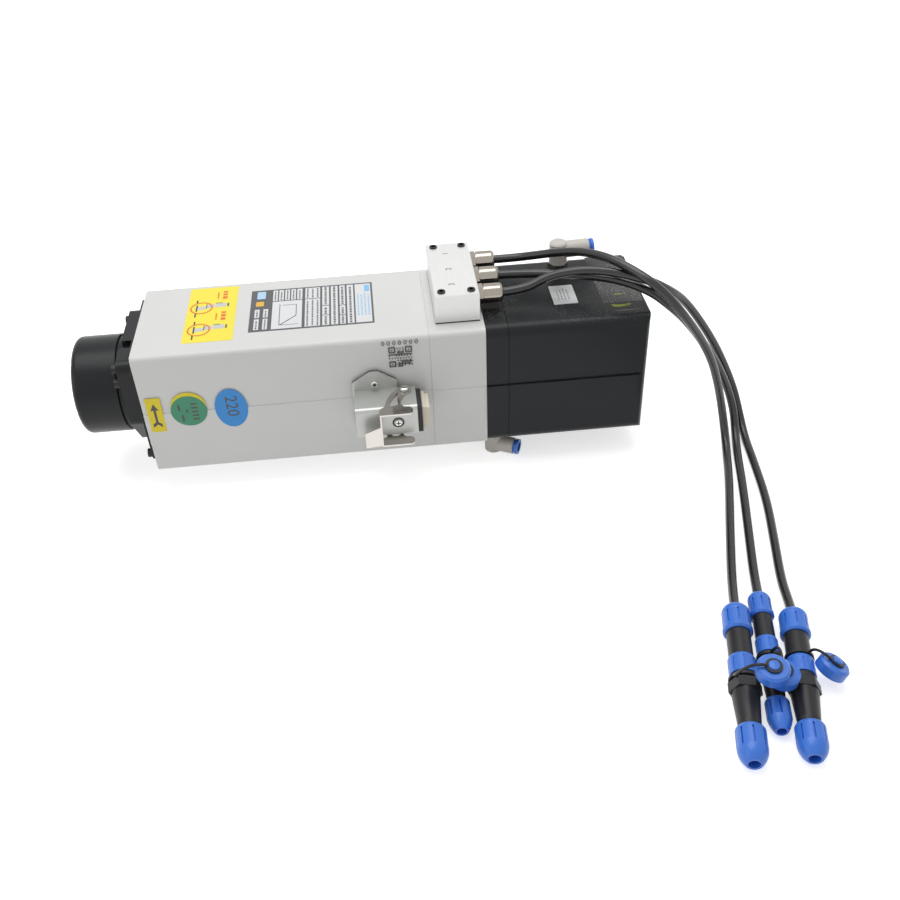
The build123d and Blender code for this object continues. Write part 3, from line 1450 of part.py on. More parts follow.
with BuildPart() as socket_nuts:
    for ends in plug_ends:
        size = ends[2]
        near, far = along(ends, t_low_nut)
        turned_on(
            plug_plane(ends),
            (nut_radius * size, (2 * near + 3 * far) / 5), (5.0 * size, far), (3.6 * size, far),
            (3.6 * size, near + 4.0), (socket_tail_radius * size - 0.9, near + 3.0),
            (socket_tail_radius * size - 0.9, near), (nut_radius * size - 0.6, near),
            (nut_radius * size, near + 1.2),
            bulge=(nut_radius * size - 1.5, far - 3.6),
        )
        with BuildSketch(plug_plane(ends).offset(near + 2.5)):
            with PolarLocations(nut_radius * size - 1.5 * nut_slot_depth + slot_tool / 2, nut_slots):
                Rectangle(slot_tool, nut_slot_width)
        extrude(amount=(far - near) / 2, mode=Mode.SUBTRACT)
socket_nuts.part.label = "socket_nuts"
export_step(socket_nuts.part, "parts/socket_nuts.step")

# ---------------------------------------------------------------- dust caps on their straps
cap_radius = 10.0
cap_length = 7.5
cap_wall = 1.6
cap_edge = 1.5
eye_radius = 5.0
eye_thickness = 1.4
hub_radius = 2.6
strap_radius = 0.9
loop_width = 2.0
loop_thickness = 1.3
cap_faces = (
    ((445.8, -304.0, -36.8), (-0.05, -0.10, 1.0)),
    ((455.6, -299.6, -47.0), (0.05, -0.05, 1.0)),
    ((493.2, -290.2, -56.6), (0.50, 0.12, 1.0)),
)
loop_seats = ((0, 61.4, 8.35), (1, 61.4, 6.8), (2, 42.8, 7.75))  # plug, station, radius under the loop
strap_ways = (
    (
        (441.6, -303.6, -35.4), (436.3, -302.6, -35.2), (430.0, -299.6, -41.5),
        (427.6, -295.6, -51.0), (429.2, -291.2, -57.2),
    ),
    ((455.8, -294.8, -45.2), (457.0, -288.5, -44.6), (458.6, -280.0, -49.5), (457.7, -275.8, -57.9)),
    ((489.2, -289.6, -53.2), (486.0, -286.2, -51.8), (483.0, -281.0, -54.0), (481.5, -278.6, -58.0)),
)


def cap_plane(face):
    return Plane(origin=Vector(*face[0]), z_dir=Vector(*face[1]))


with BuildPart() as dust_caps:
    for face in cap_faces:
        turned_on(
            cap_plane(face),
            (0, 0), (cap_radius - cap_edge, 0), (cap_radius, -cap_edge), (cap_radius, -cap_length),
            (cap_radius - cap_wall, -cap_length), (cap_radius - cap_wall, -2 * cap_wall), (0, -2 * cap_wall),
        )
        turned_on(
            cap_plane(face),
            (0, -0.5), (hub_radius, -0.5), (hub_radius, eye_thickness + 0.1),
            (hub_radius + 0.8, eye_thickness + 0.1),
            (hub_radius + 0.4, eye_thickness + 1.0), (0, eye_thickness + 1.4),
        )
dust_caps.part.label = "dust_caps"
export_step(dust_caps.part, "parts/dust_caps.step")

with BuildPart() as cap_straps:
    for face, seat, way in zip(cap_faces, loop_seats, strap_ways):
        with BuildSketch(cap_plane(face)) as eye:
            Circle(eye_radius)
            Circle(hub_radius + 0.05, mode=Mode.SUBTRACT)
        extrude(eye.sketch, amount=eye_thickness)
        ends = plug_ends[seat[0]]
        plane = plug_plane(ends).offset(along(ends, (seat[1],))[0] - loop_width / 2)
        with BuildSketch(plane) as loop:
            Circle(seat[2] + loop_thickness)
            Circle(seat[2] + 0.05, mode=Mode.SUBTRACT)
        extrude(loop.sketch, amount=loop_width)
        with BuildLine() as path:
            Spline(*way)
        with BuildSketch(Plane(origin=path.line @ 0, z_dir=path.line % 0)) as section:
            Circle(strap_radius)
        sweep(section.sketch, path=path.line)
cap_straps.part.label = "cap_straps"
export_step(cap_straps.part, "parts/cap_straps.step")
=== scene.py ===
import math

import bmesh
import bpy
from mathutils import Matrix, Vector


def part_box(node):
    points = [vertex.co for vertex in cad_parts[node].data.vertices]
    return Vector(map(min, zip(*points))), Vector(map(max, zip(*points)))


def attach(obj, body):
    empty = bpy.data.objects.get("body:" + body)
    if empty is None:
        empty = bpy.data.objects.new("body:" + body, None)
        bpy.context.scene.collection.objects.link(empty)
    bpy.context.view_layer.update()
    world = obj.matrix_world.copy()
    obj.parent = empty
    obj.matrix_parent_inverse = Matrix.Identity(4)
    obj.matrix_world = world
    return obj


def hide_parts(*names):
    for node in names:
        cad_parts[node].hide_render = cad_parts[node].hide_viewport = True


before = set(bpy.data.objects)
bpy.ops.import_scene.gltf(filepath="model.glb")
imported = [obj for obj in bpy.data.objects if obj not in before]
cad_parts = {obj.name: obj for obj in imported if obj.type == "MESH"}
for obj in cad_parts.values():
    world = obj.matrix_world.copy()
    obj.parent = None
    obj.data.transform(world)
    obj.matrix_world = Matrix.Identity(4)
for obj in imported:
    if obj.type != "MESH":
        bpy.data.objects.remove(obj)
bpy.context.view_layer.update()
MM = 0.001


# ---------------------------------------------------------------------------------
# Table, camera and lamps. The spindle lies on white studio paper under one wide soft
# box, with a weak one to the left, and a pale sky lights the sides.
def start_material(name):
    """An empty node material with its Principled shader wired to the output."""
    material = bpy.data.materials.new(name)
    material.use_nodes = True
    tree = material.node_tree
    tree.nodes.clear()
    output = tree.nodes.new("ShaderNodeOutputMaterial")
    output.location = (600, 0)
    shader = tree.nodes.new("ShaderNodeBsdfPrincipled")
    shader.location = (300, 0)
    tree.links.new(shader.outputs["BSDF"], output.inputs["Surface"])
    return material, tree, shader


def add_node(tree, kind, location, **settings):
    node = tree.nodes.new(kind)
    node.location = location
    for key, value in settings.items():
        setattr(node, key, value)
    return node


def mesh_object(name, mesh):
    piece = bpy.data.objects.new(name, mesh)
    bpy.context.scene.collection.objects.link(piece)
    return piece


def background_rays(tree, location):
    """1 for rays from the camera and for reflections, which see the plain white studio."""
    light_path = add_node(tree, "ShaderNodeLightPath", location)
    seen = add_node(tree, "ShaderNodeMath", (location[0] + 200, location[1]), operation="MAXIMUM")
    tree.links.new(light_path.outputs["Is Camera Ray"], seen.inputs[0])
    tree.links.new(light_path.outputs["Is Glossy Ray"], seen.inputs[1])
    return seen.outputs["Value"]


table_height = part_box("bottom_elbow")[0][2]
paper_glow = 0.62
floor_build = bmesh.new()
bmesh.ops.create_grid(floor_build, x_segments=1, y_segments=1, size=6.0)
floor_mesh = bpy.data.meshes.new("table_top")
floor_build.to_mesh(floor_mesh)
floor_build.free()
table = mesh_object("table_top", floor_mesh)
table.location = (0.2, 0, table_height)
studio_paper, tree, shader = start_material("studio paper")
shader.inputs["Base Color"].default_value = (0.88, 0.88, 0.88, 1)
shader.inputs["Roughness"].default_value = 0.7
glow = add_node(tree, "ShaderNodeEmission", (0, 150))
glow.inputs["Strength"].default_value = paper_glow
lit_and_glowing = add_node(tree, "ShaderNodeAddShader", (300, 200))
paper_mix = add_node(tree, "ShaderNodeMixShader", (450, 100))
tree.links.new(shader.outputs["BSDF"], lit_and_glowing.inputs[0])
tree.links.new(glow.outputs["Emission"], lit_and_glowing.inputs[1])
tree.links.new(background_rays(tree, (-200, 300)), paper_mix.inputs["Fac"])
tree.links.new(shader.outputs["BSDF"], paper_mix.inputs[1])
tree.links.new(lit_and_glowing.outputs["Shader"], paper_mix.inputs[2])
tree.links.new(paper_mix.outputs["Shader"], tree.nodes["Material Output"].inputs["Surface"])
floor_mesh.materials.append(studio_paper)

camera_data = bpy.data.cameras.new("camera")
camera_data.lens = 41.01
camera_data.sensor_width = 36.0
camera = bpy.data.objects.new("camera", camera_data)
bpy.context.scene.collection.objects.link(camera)
camera_right = Vector((0.99467, -0.09726, -0.03424))
camera_up = Vector((0.08729, 0.61758, 0.78165))
camera_back = Vector((-0.05488, -0.78047, 0.62277))
camera.matrix_world = Matrix.Translation((0.23415, -0.67770, 0.44519)) @ Matrix(
    (camera_right, camera_up, camera_back)
).transposed().to_4x4()
bpy.context.scene.camera = camera
bpy.context.scene.view_settings.view_transform = "Standard"

world = bpy.data.worlds.new("studio")
bpy.context.scene.world = world
world.use_nodes = True
sky_tree = world.node_tree
sky = sky_tree.nodes["Background"]
sky.inputs["Color"].default_value = (1, 1, 1, 1)
sky.inputs["Strength"].default_value = 0.46
white_sky = add_node(sky_tree, "ShaderNodeBackground", (0, 200))
white_sky.inputs["Color"].default_value = (1, 1, 1, 1)
white_sky.inputs["Strength"].default_value = 1.0
sky_mix = add_node(sky_tree, "ShaderNodeMixShader", (300, 200))
sky_tree.links.new(background_rays(sky_tree, (-300, 300)), sky_mix.inputs["Fac"])
sky_tree.links.new(sky.outputs["Background"], sky_mix.inputs[1])
sky_tree.links.new(white_sky.outputs["Background"], sky_mix.inputs[2])
sky_tree.links.new(sky_mix.outputs["Shader"], sky_tree.nodes["World Output"].inputs["Surface"])


def soft_box(name, place, aim, width, height, power):
    lamp = bpy.data.lights.new(name, "AREA")
    lamp.shape = "RECTANGLE"
    lamp.size = width
    lamp.size_y = height
    lamp.energy = power
    holder = bpy.data.objects.new(name, lamp)
    holder.location = place
    direction = Vector(aim) - Vector(place)
    holder.rotation_euler = direction.to_track_quat("-Z", "Y").to_euler()
    bpy.context.scene.collection.objects.link(holder)
    return holder


soft_box("soft_box_above", (0.15, 0.15, 1.25), (0.22, 0, 0), 1.3, 0.9, 10.4)
soft_box("soft_box_left", (-1.1, -0.7, 0.7), (0.2, 0, 0), 0.8, 0.8, 2.0)


# ---------------------------------------------------------------------------------
# Painted housings. The motor housing and the rear bearing block are machined from
# square aluminium bar and spray-painted light grey, with a fine sand texture.
def open_group(name, inputs, outputs):
    """A shader node group with named sockets, and the nodes at its two ends."""
    group = bpy.data.node_groups.new(name, "ShaderNodeTree")
    for label, kind in inputs:
        group.interface.new_socket(label, in_out="INPUT", socket_type=kind)
    for label, kind in outputs:
        group.interface.new_socket(label, in_out="OUTPUT", socket_type=kind)
    return group, add_node(group, "NodeGroupInput", (-1100, 0)), add_node(group, "NodeGroupOutput", (700, 0))


def spread_about(group, value, middle, spread, location):
    """middle x (1 + spread x (2 value - 1)), for a slow change about a plain number."""
    swing = add_node(group, "ShaderNodeMath", location, operation="MULTIPLY_ADD")
    swing.inputs[1].default_value = 2.0
    swing.inputs[2].default_value = -1.0
    group.links.new(value, swing.inputs[0])
    amount = add_node(group, "ShaderNodeMath", (location[0] + 180, location[1]), operation="MULTIPLY_ADD")
    group.links.new(swing.outputs["Value"], amount.inputs[0])
    group.links.new(spread, amount.inputs[1])
    amount.inputs[2].default_value = 1.0
    if middle is None:
        return amount.outputs["Value"]
    product = add_node(group, "ShaderNodeMath", (location[0] + 360, location[1]), operation="MULTIPLY")
    group.links.new(amount.outputs["Value"], product.inputs[0])
    group.links.new(middle, product.inputs[1])
    return product.outputs["Value"]


surface_grain, source, sink = open_group(
    "surface grain",
    [("Color", "NodeSocketColor"), ("Tone Spread", "NodeSocketFloat"), ("Gloss", "NodeSocketFloat"),
     ("Gloss Spread", "NodeSocketFloat"), ("Grain Size", "NodeSocketFloat"),
     ("Grain Depth", "NodeSocketFloat")],
    [("Color", "NodeSocketColor"), ("Roughness", "NodeSocketFloat"), ("Normal", "NodeSocketVector")],
)
place = add_node(surface_grain, "ShaderNodeTexCoord", (-1100, -300)).outputs["Object"]
fine = add_node(surface_grain, "ShaderNodeTexNoise", (-800, -300))
fine.inputs["Detail"].default_value = 3.0
surface_grain.links.new(place, fine.inputs["Vector"])
surface_grain.links.new(source.outputs["Grain Size"], fine.inputs["Scale"])
grain_bump = add_node(surface_grain, "ShaderNodeBump", (-500, -300))
grain_bump.inputs["Distance"].default_value = 0.0002
surface_grain.links.new(fine.outputs["Fac"], grain_bump.inputs["Height"])
surface_grain.links.new(source.outputs["Grain Depth"], grain_bump.inputs["Strength"])
slow = add_node(surface_grain, "ShaderNodeTexNoise", (-800, 0))
slow.inputs["Scale"].default_value = 22.0
slow.inputs["Detail"].default_value = 4.0
surface_grain.links.new(place, slow.inputs["Vector"])
tone = add_node(surface_grain, "ShaderNodeHueSaturation", (200, 200))
surface_grain.links.new(source.outputs["Color"], tone.inputs["Color"])
surface_grain.links.new(
    spread_about(surface_grain, slow.outputs["Fac"], None, source.outputs["Tone Spread"], (-500, 250)),
    tone.inputs["Value"],
)
surface_grain.links.new(
    spread_about(
        surface_grain, slow.outputs["Fac"], source.outputs["Gloss"],
        source.outputs["Gloss Spread"], (-500, 50),
    ),
    sink.inputs["Roughness"],
)
surface_grain.links.new(tone.outputs["Color"], sink.inputs["Color"])
surface_grain.links.new(grain_bump.outputs["Normal"], sink.inputs["Normal"])


def place_group(tree, group, location, **values):
    """One placed copy of a node group, with its plain inputs set."""
    node = add_node(tree, "ShaderNodeGroup", location, node_tree=group)
    for label, value in values.items():
        node.inputs[label.replace("_", " ")].default_value = value
    return node


def grained(name, colour, gloss, grain_size, grain_depth, tone_spread=0.05, gloss_spread=0.2, **sockets):
    """A plain surface with its grain; further shader values go on its own sockets."""
    material, tree, shader = start_material(name)
    surface = place_group(
        tree, surface_grain, (0, 0), Color=(*colour, 1), Tone_Spread=tone_spread, Gloss=gloss,
        Gloss_Spread=gloss_spread, Grain_Size=grain_size, Grain_Depth=grain_depth,
    )
    for output, label in (("Color", "Base Color"), ("Roughness", "Roughness"), ("Normal", "Normal")):
        tree.links.new(surface.outputs[output], shader.inputs[label])
    for label, value in sockets.items():
        shader.inputs[label.replace("_", " ")].default_value = value
    return material, tree, shader, surface


def dress(material, *nodes):
    """Give nodes of the frame a material."""
    for node in nodes:
        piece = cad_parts[node]
        piece.data.materials.clear()
        piece.data.materials.append(material)


grey_paint = grained("light grey paint", (0.70, 0.70, 0.685), 0.42, 900.0, 0.12, tone_spread=0.03)[0]
dress(grey_paint, "motor_housing", "rear_bearing_block")

# ---------------------------------------------------------------------------------
# Printed labels. Thin vinyl stickers and a metal-look rating plate, laid on the
# paint by hand; they carry plain marks and numbers only.
top_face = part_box("motor_housing")[1][2]
side_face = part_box("motor_housing")[0][1]
sticker_thickness = 0.14 * MM
print_thickness = 0.04 * MM


def vinyl(name, colour, gloss=0.34, **sockets):
    return grained(name, colour, gloss, 90.0, 0.05, tone_spread=0.04, **sockets)[0]


def finish_mesh(name, build, material, body="frame", smooth=True):
    """Turn a bmesh into a piece that rides on a body."""
    mesh = bpy.data.meshes.new(name)
    bmesh.ops.recalc_face_normals(build, faces=build.faces)
    build.to_mesh(mesh)
    build.free()
    if smooth:
        mesh.shade_smooth()
    mesh.materials.append(material)
    piece = mesh_object(name, mesh)
    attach(piece, body)
    return piece


def box_outline(x0, x1, y0, y1):
    return [(x0, y0), (x1, y0), (x1, y1), (x0, y1)]


def rounded_outline(x0, x1, y0, y1, radius, steps=5):
    """Corners of a rounded rectangle, anticlockwise."""
    points = []
    for cx, cy, start in (
        (x1 - radius, y1 - radius, 0), (x0 + radius, y1 - radius, 90),
        (x0 + radius, y0 + radius, 180), (x1 - radius, y0 + radius, 270),
    ):
        for step in range(steps + 1):
            angle = math.radians(start + 90 * step / steps)
            points.append((cx + radius * math.cos(angle), cy + radius * math.sin(angle)))
    return points


def ellipse_outline(cx, cy, rx, ry, steps=48):
    return [
        (cx + rx * math.cos(2 * math.pi * step / steps), cy + ry * math.sin(2 * math.pi * step / steps))
        for step in range(steps)
    ]


def ring_outlines(cx, cy, radius, stroke, steps=40):
    """A printed ring, as the short plates that make it up."""
    plates = []
    for step in range(steps):
        corners = []
        for angle_step, reach in ((step, 0), (step, stroke), (step + 1, stroke), (step + 1, 0)):
            angle = 2 * math.pi * angle_step / steps
            corners.append((cx + (radius + reach) * math.cos(angle), cy + (radius + reach) * math.sin(angle)))
        plates.append(corners)
    return plates


def plates_on(name, face, outlines, material, lift=0.0, thickness=sticker_thickness, level=None):
    """Thin plates on a top or on the near side, from outlines in millimetres, as one piece."""
    build = bmesh.new()
    for outline in outlines:
        low = []
        high = []
        for across, along in outline:
            if face == "top":
                place = Vector((across * MM, along * MM, top_face if level is None else level))
                out = Vector((0, 0, 1))
            else:
                place = Vector((across * MM, side_face if level is None else level, along * MM))
                out = Vector((0, -1, 0))
            low.append(build.verts.new(place + out * lift))
            high.append(build.verts.new(place + out * (lift + thickness)))
        build.faces.new(high)
        build.faces.new(low)
        for first in range(len(low)):
            second = (first + 1) % len(low)
            build.faces.new((low[first], low[second], high[second], high[first]))
    return finish_mesh(name, build, material, smooth=False)


def numeral(name, words, height, place, reading, up, material):
    """Plain printed figures, centred on a place and read along a direction."""
    curve = bpy.data.curves.new(name, "FONT")
    curve.body = words
    curve.size = height
    curve.align_x = "CENTER"
    curve.align_y = "CENTER"
    curve.extrude = print_thickness
    curve.materials.append(material)
    piece = mesh_object(name, curve)
    out = Vector(reading).cross(Vector(up))
    piece.matrix_world = Matrix.Translation(place) @ Matrix((reading, up, out)).transposed().to_4x4()
    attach(piece, "frame")
    return piece


def text_bars(x0, x1, y0, y1, rows, pitch, stroke, salt):
    """Rows of short bars of uneven length that stand for lines of print along Y."""
    bars = []
    row_step = (x1 - x0) / rows
    for row in range(rows):
        middle = x0 + row_step * (row + 0.5)
        place = y0 + 1.0
        count = 0
        while place < y1 - 1.0:
            length = pitch * (0.45 + 0.55 * abs(math.sin(salt + 2.3 * count + 1.7 * row)))
            if place + length > y1 - 0.8:
                break
            bars.append(box_outline(middle - stroke / 2, middle + stroke / 2, place, place + length))
            place += length + pitch * 0.42
            count += 1
    return bars


yellow_vinyl = vinyl("yellow vinyl", (0.93, 0.80, 0.055))
pale_ink = vinyl("pale grey ink", (0.60, 0.60, 0.58))
dark_ink = vinyl("dark ink", (0.045, 0.045, 0.047))
orange_ink = vinyl("orange ink", (0.84, 0.16, 0.03))
plates_on("operation_label", "top", [rounded_outline(88.4, 125.3, -35.2, 43.7, 0.5)], yellow_vinyl)
# two plain side views of a spindle standing over a line, with a ring drawn round each nose
view_body = []
view_line = []
view_ring = []
for ring_x, ring_y, line_x in ((98.8, 13.4, 95.0), (99.4, -18.0, 95.6)):
    view_body += [
        box_outline(ring_x - 4.5, ring_x + 3.5, ring_y - 2.4, ring_y + 2.4),
        box_outline(ring_x + 4.2, ring_x + 9.8, ring_y - 0.6, ring_y + 5.0),
        box_outline(ring_x + 10.5, ring_x + 18.6, ring_y - 0.2, ring_y + 5.6),
    ]
    view_line += [
        box_outline(line_x - 0.6, line_x + 0.6, ring_y + 7.0, ring_y + 12.0),
        box_outline(line_x - 0.6, line_x + 0.6, ring_y - 13.0, ring_y - 7.0),
        box_outline(line_x - 0.3, line_x + 0.9, ring_y - 4.6, ring_y + 4.6),
        box_outline(ring_x + 10.5, ring_x + 15.5, ring_y + 5.6, ring_y + 6.3),
        box_outline(ring_x + 19.4, ring_x + 20.6, ring_y + 0.2, ring_y + 5.0),
        box_outline(ring_x + 3.5, ring_x + 4.2, ring_y - 1.0, ring_y + 5.2),
    ]
    view_ring += ring_outlines(ring_x, ring_y, 7.4, 1.1)
    view_ring += text_bars(ring_x + 14.6, ring_x + 19.2, ring_y + 11.0, ring_y + 27.0, 1, 3.6, 3.4, ring_x)
    view_ring += text_bars(ring_x + 10.6, ring_x + 12.6, ring_y + 12.0, ring_y + 24.0, 1, 1.6, 1.2, ring_y)
on_sticker = {"lift": sticker_thickness, "thickness": print_thickness}
over_print = {"lift": sticker_thickness + print_thickness, "thickness": print_thickness}
plates_on("operation_views", "top", view_body, pale_ink, **on_sticker)
plates_on("operation_lines", "top", view_line, dark_ink, **over_print)
plates_on(
    "operation_rings", "top", view_ring, orange_ink,
    lift=sticker_thickness + 2 * print_thickness, thickness=print_thickness,
)

plate_grey = vinyl("rating plate grey", (0.085, 0.09, 0.095), 0.3)
plate_white = vinyl("rating plate white", (0.74, 0.75, 0.76), 0.3)
plate_blue = vinyl("rating plate blue", (0.25, 0.53, 0.82), 0.3)
plate_pale_blue = vinyl("rating plate pale blue", (0.45, 0.66, 0.86), 0.3)
plate_amber = vinyl("rating plate amber", (0.80, 0.46, 0.045), 0.3)
plates_on("rating_plate", "top", [rounded_outline(136.0, 228.6, -27.1, 33.3, 0.4)], plate_grey)
small_cells = [box_outline(152.6 + 4.6 * cell, 156.2 + 4.6 * cell, 15.6, 31.6) for cell in range(4)]
small_cells += [box_outline(171.0, 175.0, 15.6, 31.6)]
small_cells += [
    box_outline(139.6 + 6.4 * column, 143.2 + 6.4 * column, low, high)
    for column in range(2) for low, high in ((-24.5, -9.5), (-7.5, 4.5))
]
chart_cell = [box_outline(152.6, 175.0, -25.3, 14.4)]
row_cells = [
    box_outline(177.2, 188.6, -25.3, 14.4), box_outline(177.2, 188.6, 15.4, 31.6),
    box_outline(190.2, 195.4, 3.6, 31.6), box_outline(190.2, 195.4, -10.4, 2.6),
    box_outline(190.2, 195.4, -25.3, -11.4), box_outline(196.8, 202.0, -25.3, 31.6),
    box_outline(203.4, 207.6, 2.2, 31.6), box_outline(203.4, 207.6, -11.8, 1.2),
    box_outline(203.4, 207.6, -25.3, -12.8), box_outline(209.0, 214.0, -25.3, 31.6),
    box_outline(215.2, 227.2, -25.3, 31.6),
]
plates_on("rating_cells", "top", small_cells + chart_cell + row_cells, plate_white, **on_sticker)
plates_on(
    "rating_square", "top",
    [rounded_outline(140.5, 147.0, 20.0, 31.0, 1.0)], plate_pale_blue, **on_sticker,
)
plates_on("rating_bar", "top", [rounded_outline(140.0, 146.0, 9.2, 16.0, 0.8)], plate_amber, **on_sticker)
plate_print = []
for salt, cell in enumerate(small_cells):
    (x0, y0), (x1, y1) = cell[0], cell[2]
    plate_print += text_bars(x0, x1, y0, y1, 1, 1.9, 1.1, salt)
for salt, cell in enumerate(row_cells[:-1]):
    (x0, y0), (x1, y1) = cell[0], cell[2]
    rows = 3 if x1 - x0 > 8 else 1
    plate_print += text_bars(x0, x1, y0, y1, rows, 2.0, 1.7 if rows == 1 else 1.2, salt + 11)
# a plain speed curve: two axes, a rise and a flat, all straight strokes
plate_print += [
    box_outline(158.0, 158.5, -20.0, 10.0), box_outline(158.0, 172.5, -20.5, -20.0),
    box_outline(170.4, 170.9, -8.0, 8.0), box_outline(160.0, 170.9, 8.0, 8.5),
    [(158.4, -20.0), (159.1, -20.5), (170.9, -8.3), (170.4, -7.7)],
]
plates_on("rating_print", "top", plate_print, dark_ink, **over_print)
plates_on(
    "rating_blue_print", "top",
    [rounded_outline(222.4, 226.4, 19.5, 29.5, 0.8)] + text_bars(216.0, 226.6, -16.0, 18.5, 4, 2.6, 1.1, 5),
    plate_blue, **over_print,
)

green_vinyl = vinyl("green vinyl", (0.035, 0.26, 0.135))
blue_vinyl = vinyl("blue vinyl", (0.028, 0.26, 0.68))
deep_yellow_vinyl = vinyl("deep yellow vinyl", (0.78, 0.62, 0.012))
soft_dark_ink = vinyl("worn dark ink", (0.06, 0.058, 0.05))
plates_on("direction_label", "side", [rounded_outline(56.4, 67.6, -13.5, 16.8, 0.4)], deep_yellow_vinyl)
plates_on(
    "direction_arrow", "side",
    [[(62.0, 11.8), (58.9, 5.6), (61.1, 6.2), (61.1, -4.4), (58.7, -6.4), (58.7, -9.4), (62.0, -6.6),
      (65.3, -9.4), (65.3, -6.4), (62.9, -4.4), (62.9, 6.2), (65.1, 5.6)]],
    soft_dark_ink, **on_sticker,
)
plates_on("seal_disc_under", "side", [ellipse_outline(86.9, 6.6, 13.0, 13.0)], deep_yellow_vinyl)
plates_on(
    "seal_disc", "side", [ellipse_outline(86.7, 3.2, 13.25, 13.25)], green_vinyl, lift=sticker_thickness
)
disc_bars = [
    box_outline(88.6, 93.4, 1.8 - 3.4 * row, 3.2 - 3.4 * row) for row in range(-2, 3)
] + [box_outline(84.6, 86.0, 1.9, 5.2), box_outline(79.0, 80.6, 4.0, 9.0), box_outline(80.6, 82.2, -6.0, 0.0)]
plates_on(
    "seal_disc_print", "side", disc_bars, soft_dark_ink,
    lift=2 * sticker_thickness, thickness=print_thickness,
)
plates_on("blue_oval", "side", [ellipse_outline(117.7, 2.6, 12.0, 17.0)], blue_vinyl)
numeral(
    "voltage_figures", "220", 12.5 * MM, (118.0 * MM, side_face - sticker_thickness, 4.4 * MM),
    (0, 0, -1), (1, 0, 0), soft_dark_ink,
)
# a square mark that encodes nothing, with three corner squares, and a row of plain figures over it
mark_x, mark_z, mark_side, mark_cells = 236.7, 26.6, 17.2, 17
cell_side = mark_side / mark_cells
mark_plates = []
for column in range(mark_cells):
    for row in range(mark_cells):
        corner_column = min(column, mark_cells - 1 - column)
        corner_row = min(row, mark_cells - 1 - row)
        in_corner = corner_column < 6 and corner_row < 6 and not (column > 8 and row < 8)
        if in_corner:
            ring = max(abs(corner_column - 2), abs(corner_row - 2))
            inked = ring != 1 and ring < 3 or ring == 0
        else:
            inked = math.sin(12.9 * column + 78.2 * row + 3.1 * column * row) > 0.05
        if inked:
            x0 = mark_x + column * cell_side
            z0 = mark_z + row * cell_side
            mark_plates.append(box_outline(x0, x0 + cell_side * 0.96, z0, z0 + cell_side * 0.96))
plates_on("plain_mark", "side", mark_plates, soft_dark_ink, thickness=print_thickness)
numeral(
    "plain_figures", "0 0 0 0 0 0 0", 5.2 * MM, (245.2 * MM, side_face - print_thickness, 47.2 * MM),
    (1, 0, 0), (0, 0, 1), soft_dark_ink,
)

# ---------------------------------------------------------------------------------
# Black end. The cylinder plate, the fan housing and its guard carry a smooth charcoal
# coat, with settled dust on the upward faces; the fan inside is moulded plastic.
settled_dust, source, sink = open_group(
    "settled dust",
    [("Color", "NodeSocketColor"), ("Dust Color", "NodeSocketColor"), ("Amount", "NodeSocketFloat"),
     ("Speck Size", "NodeSocketFloat")],
    [("Color", "NodeSocketColor"), ("Mask", "NodeSocketFloat")],
)
place_node = add_node(settled_dust, "ShaderNodeTexCoord", (-1100, -300))
facing = add_node(settled_dust, "ShaderNodeSeparateXYZ", (-900, -500))
settled_dust.links.new(place_node.outputs["Normal"], facing.inputs["Vector"])
upward = add_node(settled_dust, "ShaderNodeMapRange", (-700, -500))
upward.inputs["From Min"].default_value = 0.6
upward.inputs["From Max"].default_value = 1.0
settled_dust.links.new(facing.outputs["Z"], upward.inputs["Value"])
drift = add_node(settled_dust, "ShaderNodeTexNoise", (-900, 100))
drift.inputs["Scale"].default_value = 26.0
drift.inputs["Detail"].default_value = 2.0
settled_dust.links.new(place_node.outputs["Object"], drift.inputs["Vector"])
drifts = add_node(settled_dust, "ShaderNodeMapRange", (-700, 100))
drifts.inputs["From Min"].default_value = 0.42
drifts.inputs["From Max"].default_value = 0.72
settled_dust.links.new(drift.outputs["Fac"], drifts.inputs["Value"])
specks = add_node(settled_dust, "ShaderNodeTexNoise", (-900, 350))
specks.inputs["Detail"].default_value = 1.0
settled_dust.links.new(place_node.outputs["Object"], specks.inputs["Vector"])
settled_dust.links.new(source.outputs["Speck Size"], specks.inputs["Scale"])
speckled = add_node(settled_dust, "ShaderNodeMapRange", (-700, 350))
speckled.inputs["From Min"].default_value = 0.52
speckled.inputs["From Max"].default_value = 0.66
settled_dust.links.new(specks.outputs["Fac"], speckled.inputs["Value"])
dust_mask = drifts.outputs["Result"]
factors = (speckled.outputs["Result"], upward.outputs["Result"], source.outputs["Amount"])
for step, factor in enumerate(factors):
    product = add_node(settled_dust, "ShaderNodeMath", (-450 + 180 * step, 100), operation="MULTIPLY")
    settled_dust.links.new(dust_mask, product.inputs[0])
    settled_dust.links.new(factor, product.inputs[1])
    dust_mask = product.outputs["Value"]
dusted = add_node(settled_dust, "ShaderNodeMix", (300, 200), data_type="RGBA")
settled_dust.links.new(dust_mask, dusted.inputs["Factor"])
settled_dust.links.new(source.outputs["Color"], dusted.inputs["A"])
settled_dust.links.new(source.outputs["Dust Color"], dusted.inputs["B"])
settled_dust.links.new(dusted.outputs["Result"], sink.inputs["Color"])
settled_dust.links.new(dust_mask, sink.inputs["Mask"])


def add_dust(tree, shader, surface, amount, dust_colour=(0.30, 0.30, 0.29), speck_size=900.0):
    """Lay settled dust over a grained material's colour."""
    dust = place_group(
        tree, settled_dust, (150, 250), Dust_Color=(*dust_colour, 1), Amount=amount, Speck_Size=speck_size
    )
    tree.links.new(surface.outputs["Color"], dust.inputs["Color"])
    tree.links.new(dust.outputs["Color"], shader.inputs["Base Color"])


